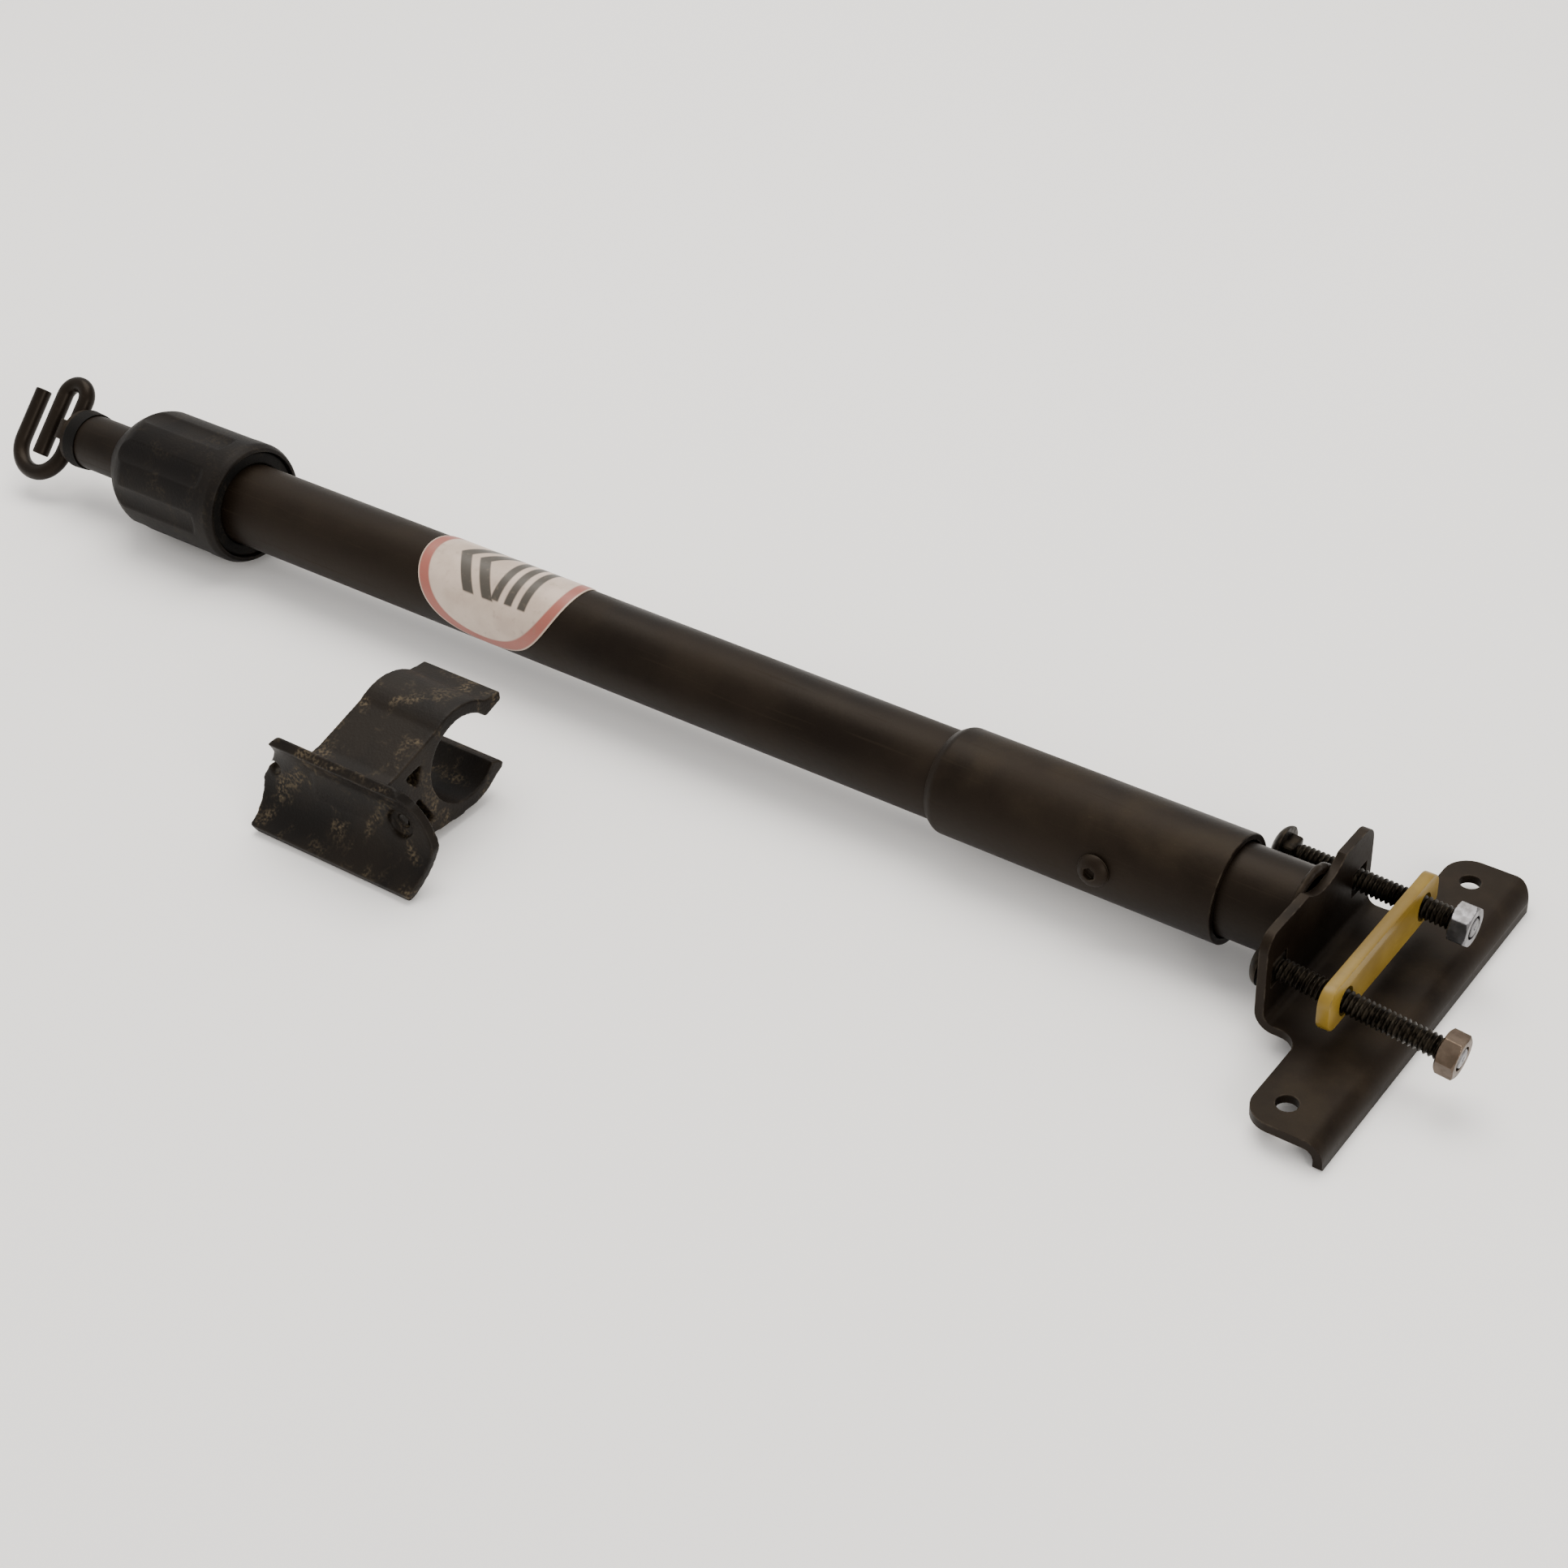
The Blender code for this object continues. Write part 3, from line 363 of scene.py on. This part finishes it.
ZINC = steel("zinc_plate", (0.12, 0.12, 0.125), (0.26, 0.26, 0.28), grime=0.25)
# The near nut's zinc is a darker, warmer copy of the same plate: painted shade on that nut.
ZINC_PAINTED_SHADE = steel("zinc_plate_painted_shade", (0.090, 0.065, 0.047), (0.140, 0.105, 0.078), rough=(0.32, 0.5),
                  grime=0.2)
BOLT_STEEL = steel("oiled_bolt_steel", (0.0080, 0.0065, 0.0050), (0.0250, 0.0210, 0.0160),
                   rough=(0.34, 0.52), grime=0.5)
BARE = steel("bare_steel", (0.40, 0.39, 0.37), (0.5, 0.49, 0.47))


def enamel(name):
    """Thick yellow enamel: soft brush waves, slight colour drift, chips that show dark steel."""
    material, tree, shader = start(name, 0.34, specular=0.3)
    clouds = noise(tree, 60.0, 5.0)
    colour = blend(tree, step_up(tree, clouds, 0.35, 0.65), (0.130, 0.080, 0.008), (0.180, 0.115, 0.013))
    smudge = step_up(tree, noise(tree, 240.0, 6.0), 0.52, 0.72, 0.30)
    colour = blend(tree, smudge, colour, (0.090, 0.055, 0.010))
    chipped = step_up(tree, noise(tree, 520.0, 3.0), 0.56, 0.62, 0.85)
    chips = calc(tree, "MULTIPLY", edges(tree, 0.0006), chipped)
    colour = blend(tree, chips, colour, (0.05, 0.036, 0.020))
    tree.links.new(colour, shader.inputs["Base Color"])
    tree.links.new(calc(tree, "MULTIPLY_ADD", clouds, 0.22, 0.26), shader.inputs["Roughness"])
    waves = noise(tree, 1.0, 3.0, stretch=(500.0, 60.0, 500.0))
    bump(tree, shader, calc(tree, "MULTIPLY_ADD", chips, -0.8, waves), 0.00012, 0.5)
    return material


YELLOW = enamel("yellow_enamel")
print("metals and enamel:", ZINC.name, BOLT_STEEL.name, BARE.name, YELLOW.name)

# %% [markdown]
# ## The tubes
# Tube is cut from stock, so its ends are square with a small burr rounded off.  An outline that runs
# out along the outside and back along the bore, turned about the axis, gives a closed wall.

# %% Main tube, stub tube and rod
def pipe(node_name, outer, wall, material, body, slot, nick=0.0003):
    """A plain tube in the place of a solid: a rectangle of wall, corners rounded, turned about X."""
    left, right = span(node_name, 0)
    wall_outline = [(left, outer), (right, outer), (right, outer - wall), (left, outer - wall)]
    obj = around(node_name + "_skin", rounded(wall_outline, nick))
    return finish(obj, material, body, slot, node_name)


pipe("main_tube", TUBE_R, WALL, PAINT, "bar", "black_paint")
pipe("stub_tube", TUBE_R, WALL, PAINT, "bar", "black_paint")
pipe("inner_rod", ROD_R, WALL, ROD_PAINT, "rod", "black_paint")

# %% [markdown]
# The sleeve's left mouth is swaged down to a thin lip that hugs the tube.  Its right end is cut
# square and stands a little off the stub tube, which shows as a dark gap.

# %% Sleeve
left, right = span("sleeve", 0)
BORE = TUBE_R + 0.0003
SWAGE = 0.0032
sleeve_wall = rounded([
    (left, BORE), (left, BORE + 0.0006), (left + 0.0007, BORE + 0.0011), (left + SWAGE, SLEEVE_R),
    (right, SLEEVE_R), (right, BORE + 0.0005), (right - 0.004, BORE + 0.0002),
], [0.0001, 0.0003, 0.0006, 0.0022, 0.0005, 0.0003, 0.0002], 6)
sleeve = finish(around("sleeve_skin", sleeve_wall), PAINT_WORN, "bar", "black_paint", "sleeve")

# %% [markdown]
# ## The wrapped label
# The label is a printed disc laid round the tube.  A point at (u, v) on the flat disc goes to
# x = x0 + u along the tube and to the angle a0 + v / r round it.  The print is worked out from that
# same (u, v), kept as a UV map, so it follows the wrap.  It is a plain ring with two chevrons and a
# row of bars.

# %% Label shape
LABEL_ANGLE = math.radians(89.0)
left, right = span("tube_label", 0)
LABEL_X, LABEL_R = (left + right) / 2, (right - left) / 2
FILM_IN, FILM_OUT = TUBE_R + 0.00005, TUBE_R + 0.00045
share = np.concatenate([np.linspace(0.0, 1.0, 28), np.linspace(1.0, 0.0, 28)])[:, None]
film = np.concatenate([np.full(28, FILM_OUT), np.full(28, FILM_IN)])[:, None]
film[27] -= 0.0001
turn = np.linspace(0.0, 2 * math.pi, 160, endpoint=False)[None, :]
flat_u, flat_v = LABEL_R * share * np.cos(turn), LABEL_R * share * np.sin(turn)
angle = LABEL_ANGLE + flat_v / TUBE_R
wrapped = np.stack([LABEL_X + flat_u, AXIS[0] - film * np.cos(angle), AXIS[1] + film * np.sin(angle)], -1)
label = surface("label_film", wrapped, quads(56, 160), 60.0)

# %% Label print coordinates
corner_points = np.empty(len(label.data.vertices) * 3, np.float32)
label.data.vertices.foreach_get("co", corner_points)
corner_points = corner_points.reshape(-1, 3)
loop_vertex = np.empty(len(label.data.loops), np.int32)
label.data.loops.foreach_get("vertex_index", loop_vertex)
place = corner_points[loop_vertex]
lean = np.arctan2(place[:, 2] - AXIS[1], -(place[:, 1] - AXIS[0])) - LABEL_ANGLE
lean = (lean + math.pi) % (2 * math.pi) - math.pi
disc = np.stack([(place[:, 0] - LABEL_X) / LABEL_R, lean * TUBE_R / LABEL_R], -1)
label.data.uv_layers.new(name="disc").data.foreach_set("uv", disc.astype(np.float32).ravel())
print(f"label disc {2000 * LABEL_R:.0f} mm across")


# %% Label print
def label_print(name):
    """Off-white film, red ring, dark chevrons and bars, all from the disc coordinates."""
    material, tree, shader = start(name, 0.42, specular=0.5)
    disc_uv = node(tree, "ShaderNodeUVMap", uv_map="disc").outputs[0]
    parts = node(tree, "ShaderNodeSeparateXYZ", {0: disc_uv})
    u, v = parts.outputs[0], parts.outputs[1]

    def inside(value, half, soft=0.012):
        """1 where value's size is under half."""
        return step_up(tree, calc(tree, "ABSOLUTE", value), half + soft, half - soft)

    far = calc(tree, "SQRT", calc(tree, "ADD", calc(tree, "MULTIPLY", u, u), calc(tree, "MULTIPLY", v, v)))
    ring = inside(calc(tree, "SUBTRACT", far, 0.925), 0.062)
    shapes = None
    for centre in (-0.52, -0.26):
        bent = calc(tree, "SUBTRACT", calc(tree, "MULTIPLY_ADD", calc(tree, "ABSOLUTE", v), -0.75, u), centre)
        mark = calc(tree, "MULTIPLY", inside(bent, 0.075), inside(v, 0.42))
        shapes = mark if shapes is None else calc(tree, "MAXIMUM", shapes, mark)
    for centre in (0.14, 0.32, 0.50):
        mark = calc(tree, "MULTIPLY", inside(calc(tree, "SUBTRACT", u, centre), 0.052),
                    inside(v, 0.40))
        shapes = calc(tree, "MAXIMUM", shapes, mark)
    fade = noise(tree, 70.0, 6.0)
    paper = blend(tree, step_up(tree, fade, 0.35, 0.65), (0.40, 0.315, 0.255), (0.50, 0.405, 0.335))
    colour = blend(tree, ring, paper, (0.26, 0.075, 0.055))
    colour = blend(tree, shapes, colour, (0.040, 0.033, 0.024))
    grime = step_up(tree, noise(tree, 380.0, 7.0), 0.55, 0.75, 0.25)
    colour = blend(tree, grime, colour, (0.16, 0.125, 0.085))
    tree.links.new(colour, shader.inputs["Base Color"])
    tree.links.new(calc(tree, "MULTIPLY_ADD", fade, 0.25, 0.28), shader.inputs["Roughness"])
    bump(tree, shader, noise(tree, 120.0, 3.0), 0.0002, 0.35)
    return material


finish(label, label_print("label_print"), "bar", "label_film", "tube_label")

# %% [markdown]
# ## The twist knob
# The grip is a turned body with eight shallow flutes.  Each flute is what a round cutter leaves: at
# an angle p from the flute's middle its surface is D cos p - sqrt(c^2 - D^2 sin^2 p) from the axis,
# with c the cutter's radius and D its distance.  The radius is the smaller of the body's and the
# flute's, and the flute climbs out steeply at its right end.

# %% Knob
FLUTES, CUTTER, DEPTH = 8, 0.0120, 0.0014
knob_left, knob_right = span("knob", 0)
KNOB_R = radius("knob")


def fluted(x, a, r):
    """The smaller of the body's radius and the flute's, for points on the outside."""
    pitch = 2 * math.pi / FLUTES
    p = np.abs((a + pitch / 2) % pitch - pitch / 2)
    reach = KNOB_R + CUTTER - DEPTH
    under = CUTTER ** 2 - (reach * np.sin(p)) ** 2
    cut = np.where(under > 0, reach * np.cos(p) - np.sqrt(np.maximum(under, 0)), KNOB_R + 0.01)
    cut = cut + np.maximum(0, x - (knob_right - 0.0105)) * 0.80
    cut = cut + np.maximum(0, (knob_left + 0.0100) - x) * 0.25
    return np.where(r > 0.0214, np.minimum(r, cut), r)


CAVITY_R, MOUTH_R, MOUTH_DEPTH = 0.0194, 0.0212, 0.0060
grip = rounded([
    (knob_left, ROD_R + 0.0003), (knob_left, 0.0128), (knob_left + 0.0030, 0.0155),
    (knob_left + 0.0090, 0.0205), (knob_left + 0.0130, 0.0229), (knob_left + 0.0165, KNOB_R),
    (knob_right - 0.0026, KNOB_R),
    (knob_right, KNOB_R - 0.0014), (knob_right, MOUTH_R), (knob_right - MOUTH_DEPTH, MOUTH_R),
    (knob_right - MOUTH_DEPTH, CAVITY_R), (knob_left + 0.0150, CAVITY_R),
    (knob_left + 0.0050, ROD_R + 0.0003),
], [0.0003, 0.0012, 0.0016, 0.0018, 0.0014, 0.0014, 0.0022, 0.0010, 0.0004, 0.0002, 0.0003, 0.0003,
    0.0003], 6)
knob = around("knob_grip", dense(grip, 0.0009), columns=256, shape=fluted)
finish(knob, KNOB_NYLON, "knob", "black_nylon", "knob")

# %% Knob ring
ring_left, ring_right = span("knob_ring", 0)
crown = radius("knob_ring")
collar = rounded([(ring_left, BORE), (ring_left, crown), (ring_right, crown), (ring_right, BORE)],
                 [0.0002, 0.0004, 0.0012, 0.0008], 8)
finish(around("knob_end_ring", collar), RUBBER, "knob", "black_rubber", "knob_ring")

# %% [markdown]
# ## The rod's end
# A rubber ring softens the knob's stop against the end plug.  The plug itself is a drilled lug, so
# its shape is taken from the solid: a copy with its doubles merged, flat faces joined, and its edges
# broken by a small bevel.

# %% Rubber ring
ring_left, ring_right = span("end_ring", 0)
crown = radius("end_ring")
bead_bore = ROD_R + 0.0002
bead = rounded([(ring_left, bead_bore), (ring_left, crown), (ring_right, crown - 0.0004),
                (ring_right, bead_bore)], [0.0002, 0.0014, 0.0010, 0.0002], 6)
finish(around("rod_end_ring", bead), RUBBER, "rod", "black_rubber", "end_ring")


# %% Pieces taken from their solids
def from_solid(node_name, new_name, edge=0.0004, segments=2, edge_angle=32.0, smooth_angle=32.0):
    """A copy of a solid: doubles merged, coplanar triangles joined, edges bevelled."""
    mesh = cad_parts[node_name].data.copy()
    mesh.name = new_name
    work = bmesh.new()
    work.from_mesh(mesh)
    bmesh.ops.remove_doubles(work, verts=work.verts, dist=1e-6)
    bmesh.ops.dissolve_limit(work, angle_limit=math.radians(0.5), verts=work.verts, edges=work.edges)
    work.to_mesh(mesh)
    work.free()
    mesh.shade_smooth()
    mesh.set_sharp_from_angle(angle=math.radians(smooth_angle))
    obj = bpy.data.objects.new(new_name, mesh)
    bpy.context.scene.collection.objects.link(obj)
    if edge > 0:
        bevel = obj.modifiers.new("broken_edges", "BEVEL")
        bevel.width, bevel.segments = edge, segments
        bevel.limit_method, bevel.angle_limit = "ANGLE", math.radians(edge_angle)
        bevel.harden_normals = True
    print(f"{new_name}: {len(mesh.polygons)} faces from its solid")
    return obj


finish(from_solid("hook_eye", "hook_eye_plug", 0.0003), PAINT_WORN, "rod", "black_paint", "hook_eye")

# %% [markdown]
# ## The wire hook
# One length of round wire, bent flat: a wide bend, a straight leg through the eye and a tight bend.
# The centre line is a run of straights and arcs in one plane, so the section's two directions are
# the plane's normal and the normal crossed with the path's direction.  The radius shrinks a little
# over the last stretch of each end as a quarter circle, which breaks the cut ends' sharp edges.

# %% Hook
HOOK_TURN = math.radians(46.0)
LEG = np.array([0.0, math.cos(HOOK_TURN), math.sin(HOOK_TURN)])
OUT = np.array([-1.0, 0.0, 0.0])
EYE = np.array([-0.5923, 0.0, AXIS[1]])
BIG, SMALL, WIRE = 0.01186, 0.00592, 0.00325
LEG_DOWN, LEG_UP, OUTER, INNER = 0.0082, 0.0137, 0.0208, 0.0264


def line(a, b, count):
    """Points from a to b, without b."""
    return np.linspace(a, b, count, endpoint=False)


def bend(centre, size, first, last, count):
    """Points on an arc: centre + size (cos t, sin t), without the last."""
    t = np.linspace(math.radians(first), math.radians(last), count, endpoint=False)
    return np.stack([centre[0] + size * np.cos(t), centre[1] + size * np.sin(t)], -1)


flat_path = np.concatenate([
    line((2 * BIG, OUTER - LEG_DOWN), (2 * BIG, -LEG_DOWN), 24),
    bend((BIG, -LEG_DOWN), BIG, 0, -180, 64),
    line((0.0, -LEG_DOWN), (0.0, LEG_UP), 24),
    bend((SMALL, LEG_UP), SMALL, 180, 0, 44),
    line((2 * SMALL, LEG_UP), (2 * SMALL, LEG_UP - INNER), 30),
    [(2 * SMALL, LEG_UP - INNER)],
])
path = EYE + flat_path[:, :1] * OUT + flat_path[:, 1:] * LEG
walked = np.concatenate([[0.0], np.cumsum(np.linalg.norm(np.diff(path, axis=0), axis=1))])
tip = 0.0006
# Known fault: the first point comes twice here, so the path's direction there is 0 / 0, and the ring
# that should close that end has no place.  Without the leading 0.0 both ends close.
fresh = np.sort(np.concatenate([walked, tip * np.array([0.0, 0.05, 0.15, 0.35, 0.6, 1.0]),
                                walked[-1] - tip * np.array([0.05, 0.15, 0.35, 0.6, 1.0])]))
path = np.stack([np.interp(fresh, walked, path[:, k]) for k in range(3)], -1)
near_end = np.clip(np.minimum(fresh, walked[-1] - fresh) / tip, 0.0, 1.0)
thick = WIRE - tip + tip * np.sqrt(np.clip(1 - (1 - near_end) ** 2, 0, 1))
thick[[0, -1]] = 0.0
along = np.gradient(path, axis=0)
along /= np.linalg.norm(along, axis=1, keepdims=True)
flat_normal = np.cross(OUT, LEG)
side = np.cross(along, flat_normal)
a = np.linspace(0, 2 * math.pi, 32, endpoint=False)[None, :, None]
tube = path[:, None] + thick[:, None, None] * (np.cos(a) * side[:, None] + np.sin(a) * flat_normal)
hook = surface("hook_bent_wire", tube, quads(len(path), 32), 60.0)
finish(hook, WIRE_PAINT, "hook", "black_paint", "hook_wire")

# %% [markdown]
# ## The weld
# A weld is a row of small frozen pools.  Its section is a circle whose radius swells once per pool,
# swept round the tube, and it tapers to nothing at both ends.

# %% Weld bead
flange_x = span("bracket", 0)[0]
bead_r = TUBE_R + 0.0008
run = np.linspace(-126.0, 126.0, 320)[:, None]
pool = 1 + 0.16 * np.abs(np.sin(np.radians(run) * 9.5)) + 0.10 * np.sin(np.radians(run) * 4.3 + 1.0)
taper = np.sqrt(np.clip(1 - (np.abs(run) / 126.0) ** 8, 0, 1))
b = np.linspace(0, 2 * math.pi, 20, endpoint=False)[None, :]
thick = 0.00125 * pool * taper
lift = bead_r + thick * np.sin(b)
weld_x = flange_x - 0.0011 - thick * np.cos(b) * 0.9
turned = np.radians(run) + math.pi / 2
weld = np.stack([weld_x, AXIS[0] - lift * np.cos(turned), AXIS[1] + lift * np.sin(turned)], -1)
finish(surface("weld_pools", weld, quads(320, 20), 60.0), PAINT_WORN, "bar", "black_paint", "weld_bead")

# %% [markdown]
# ## Bracket, screw, pressure bar and clip
# These have cut outlines and holes that are already exact in their solids, so each is a merged copy.
# The bracket's and the screw's edges are broken; the pressure bar's are left sharp.  The clip is
# moulded, and no edge of it is sharp: its copy is laid on an even half-millimetre grid and relaxed,
# which rounds every edge and leaves the flats alone.

# %% Bent sheet and moulded pieces
finish(from_solid("bracket", "bracket_sheet", 0.0006, 3), PAINT_WORN, "bar", "black_paint", "bracket")
finish(from_solid("sleeve_screw", "sleeve_button_screw", 0.0002, 2, 40.0), PAINT_WORN, "bar",
       "black_paint", "sleeve_screw")
finish(from_solid("clamp_bar", "pressure_bar", 0.0), YELLOW, "clamp_bar", "yellow_paint", "clamp_bar")
clip = from_solid("saddle_clip", "snap_clip", 0.0)
melt = clip.modifiers.new("even_skin", "REMESH")
melt.mode, melt.voxel_size, melt.use_smooth_shade = "VOXEL", 0.0005, True
relax = clip.modifiers.new("rounded_edges", "SMOOTH")
relax.factor, relax.iterations = 0.5, 10
finish(clip, CLIP_NYLON, "clip", "black_nylon", "saddle_clip")

# %% [markdown]
# ## Bolts and nuts
# A thread is a ridge whose place along the bolt moves on by one pitch per turn:
# r = core + height * tri(x / pitch - a / 2 pi), with tri a triangle wave whose tips are cut flat.
# The square neck's radius is half / max(|cos a|, |sin a|).  The nut is a hexagon whose corners are
# cut by a cone at each end.  The bolts hang in loose holes, each by its own angle, so they are made
# level and then turned down about the middle of the flange: x' = x cos d + z sin d,
# z' = z cos d - x sin d.

# %% Bolts
PITCH, THREAD_R, CORE_R = 0.00175, 0.0039, 0.0031
HEAD_R, HEAD_H, NECK, NECK_LEN, NECK_CORNER = 0.0080, 0.0042, 0.0042, 0.0040, 0.0056
SHEET, BOLT_LEN, NUT_H, NUT_FLAT = 0.0032, 0.0674, 0.0066, 0.0065
# For each bolt: its centre (y, z), the x under its head, and how far it droops.
BOLTS = {"near": ((-0.0270, AXIS[1]), flange_x - 0.0012, math.radians(5.9)),
         "far": ((0.0270, AXIS[1] - 0.0011), flange_x - 0.0234, math.radians(2.5))}


def hang(points, centre, droop):
    """Points turned down by droop about a line along Y through the bolt in the flange's middle."""
    middle = np.array([flange_x + SHEET / 2, *centre])
    c, s = math.cos(droop), math.sin(droop)
    return (points - middle) @ np.array([[c, 0.0, -s], [0.0, 1.0, 0.0], [s, 0.0, c]]) + middle


def thread_radius(x, a, start_x, end_x):
    """Thread radius at x and angle a, fading in over a pitch and tapering to the core at the tip."""
    wave = np.abs(((x / PITCH - a / (2 * math.pi)) % 1.0) * 2 - 1)
    ridge = np.clip(wave * 1.35 - 0.15, 0.0, 1.0)
    fade = np.clip((x - start_x) / PITCH, 0.0, 1.0) * np.clip((end_x - x) / (0.8 * PITCH), 0.0, 1.0)
    return CORE_R + (THREAD_R - CORE_R) * ridge * fade


def carriage_bolt(which):
    """Domed head, square neck and thread as one grid of rows along X, then hung."""
    centre, seat, droop = BOLTS[which]
    end = seat + BOLT_LEN
    a = np.linspace(0, 2 * math.pi, 96, endpoint=False)[None, :]
    dome_t = np.linspace(math.pi / 2, 0.0, 18)[:, None]
    dome_x, dome_r = seat - HEAD_H * np.sin(dome_t), HEAD_R * np.cos(dome_t) + 0 * a
    under = np.array([[HEAD_R - 0.0001], [HEAD_R - 0.0008], [NECK_CORNER + 0.0002]]) + 0 * a
    under_x = np.full((3, 1), seat + 0.00008)
    square = np.minimum(NECK / np.maximum(np.abs(np.cos(a)), np.abs(np.sin(a))), NECK_CORNER)
    neck_x = seat + np.array([[0.0001], [0.0006], [0.0030], [0.0037], [NECK_LEN]])
    neck_r = np.concatenate([square, square, square, square * 0.97, square * 0.90])
    thread_x = np.arange(seat + NECK_LEN + 0.0002, end - 0.0002, PITCH / 9)[:, None]
    thread_r = thread_radius(thread_x, a, seat + NECK_LEN, end)
    end_x = np.array([[end - 0.0001], [end], [end], [end - 0.0003], [end - 0.0003]])
    end_r = np.array([[CORE_R - 0.0001], [CORE_R - 0.0004], [0.0009], [0.0006], [0.0]]) + 0 * a
    x = np.concatenate([dome_x, under_x, neck_x, thread_x, end_x])
    r = np.concatenate([dome_r, under, neck_r, thread_r, end_r])
    points = np.stack([x + 0 * a, centre[0] - r * np.cos(a), centre[1] + r * np.sin(a)], -1)
    name = "bolt_" + which
    obj = surface(name + "_threaded", hang(points, centre, droop), quads(len(x), 96), 38.0)
    finish(obj, BOLT_STEEL, name, "dark_steel", name)
    obj.data.materials.append(ZINC)
    middles = np.empty(3 * len(obj.data.polygons), np.float32)
    obj.data.polygons.foreach_get("center", middles)
    level = hang(middles.reshape(-1, 3), centre, -droop)
    obj.data.polygons.foreach_set("material_index", (level[:, 0] > end - 0.0004).astype(np.int32))
    return obj


for which in BOLTS:
    carriage_bolt(which)


# %% Nuts
def nut_angle(which):
    """Angle of a flat: the corners' sixfold mean direction in the solid, plus half of 60 degrees."""
    centre, _, droop = BOLTS[which]
    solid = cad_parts["nut_" + which].data
    points = np.empty(3 * len(solid.vertices), np.float32)
    solid.vertices.foreach_get("co", points)
    points = hang(points.reshape(-1, 3).astype(float), centre, -droop)
    y, z = centre[0] - points[:, 1], points[:, 2] - centre[1]
    far_out = np.hypot(y, z) > 0.98 * np.hypot(y, z).max()
    sixfold = np.exp(6j * np.arctan2(z[far_out], y[far_out])).mean()
    return np.angle(sixfold) / 6 + math.pi / 6


def hex_nut(which, material):
    """Hexagon r = flat / cos(angle to the nearest flat), under a cone at each end, with a round bore."""
    centre, seat, droop = BOLTS[which]
    flat, tilt = NUT_FLAT, nut_angle(which)
    right = seat + BOLT_LEN - 0.0002
    left = right - NUT_H

    def hexagon(x, a, r):
        p = (a - tilt + math.pi / 6) % (math.pi / 3) - math.pi / 6
        depth = np.minimum(x - left, right - x)
        cone = flat * 0.985 + depth * 1.7
        body_r = np.minimum(np.minimum(flat / np.cos(p), flat * 1.145), cone)
        return np.where(r > flat * 0.9, body_r, r)
    bore, inner = THREAD_R + 0.0002, flat * 0.93
    corners = [(left, bore), (left, inner), (left, flat), (right, flat), (right, inner), (right, bore)]
    outline = rounded(corners, [0.0003, 0.00001, 0.00002, 0.00002, 0.00001, 0.0003], 3)
    outline = dense(outline, 0.00022)
    name = "nut_" + which
    obj = around(name + "_hex", outline, centre, columns=192, shape=hexagon, smooth_angle=25.0,
                 move=lambda points: hang(points, centre, droop))
    print(f"{name} is turned {math.degrees(tilt):.1f} degrees")
    return finish(obj, material, name, "zinc_plate", name)


# The near nut takes the darker, warmer copy of the zinc, which is painted shade.
hex_nut("near", ZINC_PAINTED_SHADE)
hex_nut("far", ZINC)

# %% [markdown]
# ## Pieces that stay as they are
# The lock's inner parts can't be seen from outside.  They keep their solids and only get a finish.

# %% Finish the hidden solids
HIDDEN = {"weld_nut": BARE, "collar_pin": BARE, "guide_pin": BARE, "eye_pin": BARE,
          "threaded_collar": HIDDEN_NYLON, "collet": HIDDEN_NYLON, "rod_guide": HIDDEN_NYLON}
for name, material in HIDDEN.items():
    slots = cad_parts[name].material_slots
    for place in slots:
        place.material = material
    print(name, "gets", material.name)

# %% [markdown]
# ## Floor, light and camera
# A pale floor under the lowest point, one broad soft light overhead and a little to the left, a
# weaker one from the right, and an even pale sky.  Broad lights give black satin its long soft
# streak.

# %% Floor
floor_z = min(corner[2] for corner in cad_box)
corners = np.array([[-6, -6], [6, -6], [6, 6], [-6, 6]], float)
floor_points = np.column_stack([corners, np.full(4, floor_z - 0.0002)])
floor = surface("floor", floor_points, np.array([[0, 1, 2, 3]]))
white, tree, shader = start("pale_floor", 0.9, specular=0.2)
shade = blend(tree, noise(tree, 6.0, 3.0), (0.90, 0.90, 0.90), (0.93, 0.93, 0.93))
tree.links.new(shade, shader.inputs["Base Color"])
floor.data.materials.append(white)


# %% Light
def soft_light(name, place, aim, size, watts, colour=(1, 1, 1)):
    """A square area light at place that looks at aim."""
    data = bpy.data.lights.new(name, "AREA")
    data.shape, data.size, data.energy, data.color = "SQUARE", size, watts, colour
    lamp = bpy.data.objects.new(name, data)
    bpy.context.scene.collection.objects.link(lamp)
    direction = np.array(aim) - np.array(place)
    level = math.hypot(direction[0], direction[1])
    lamp.location = place
    lamp.rotation_euler = (math.atan2(level, -direction[2]), 0.0, math.atan2(-direction[0], direction[1]))
    return lamp


soft_light("overhead", (-0.6, 0.5, 1.6), (-0.3, 0.0, 0.0), 1.4, 36.0, (1.0, 0.95, 0.88))
soft_light("from_right", (1.4, -0.7, 0.7), (-0.1, 0.0, 0.0), 0.9, 20.0, (1.0, 0.95, 0.88))
world = bpy.data.worlds.new("even_sky")
world.use_nodes = True
world.node_tree.nodes["Background"].inputs["Color"].default_value = (1.0, 0.97, 0.94, 1.0)
world.node_tree.nodes["Background"].inputs["Strength"].default_value = 1.05
bpy.context.scene.world = world

# %% Camera
camera_data = bpy.data.cameras.new("camera")
camera_data.lens, camera_data.sensor_width = 62.48, 36.0
camera_data.shift_x, camera_data.shift_y = -0.1242, 0.0134
camera_data.clip_start = 0.01
camera = bpy.data.objects.new("camera", camera_data)
camera.location = (0.2511, -0.6118, 0.5595)
camera.rotation_euler = (math.radians(53.23), 0.0, math.radians(33.37))
bpy.context.scene.collection.objects.link(camera)
bpy.context.scene.camera = camera
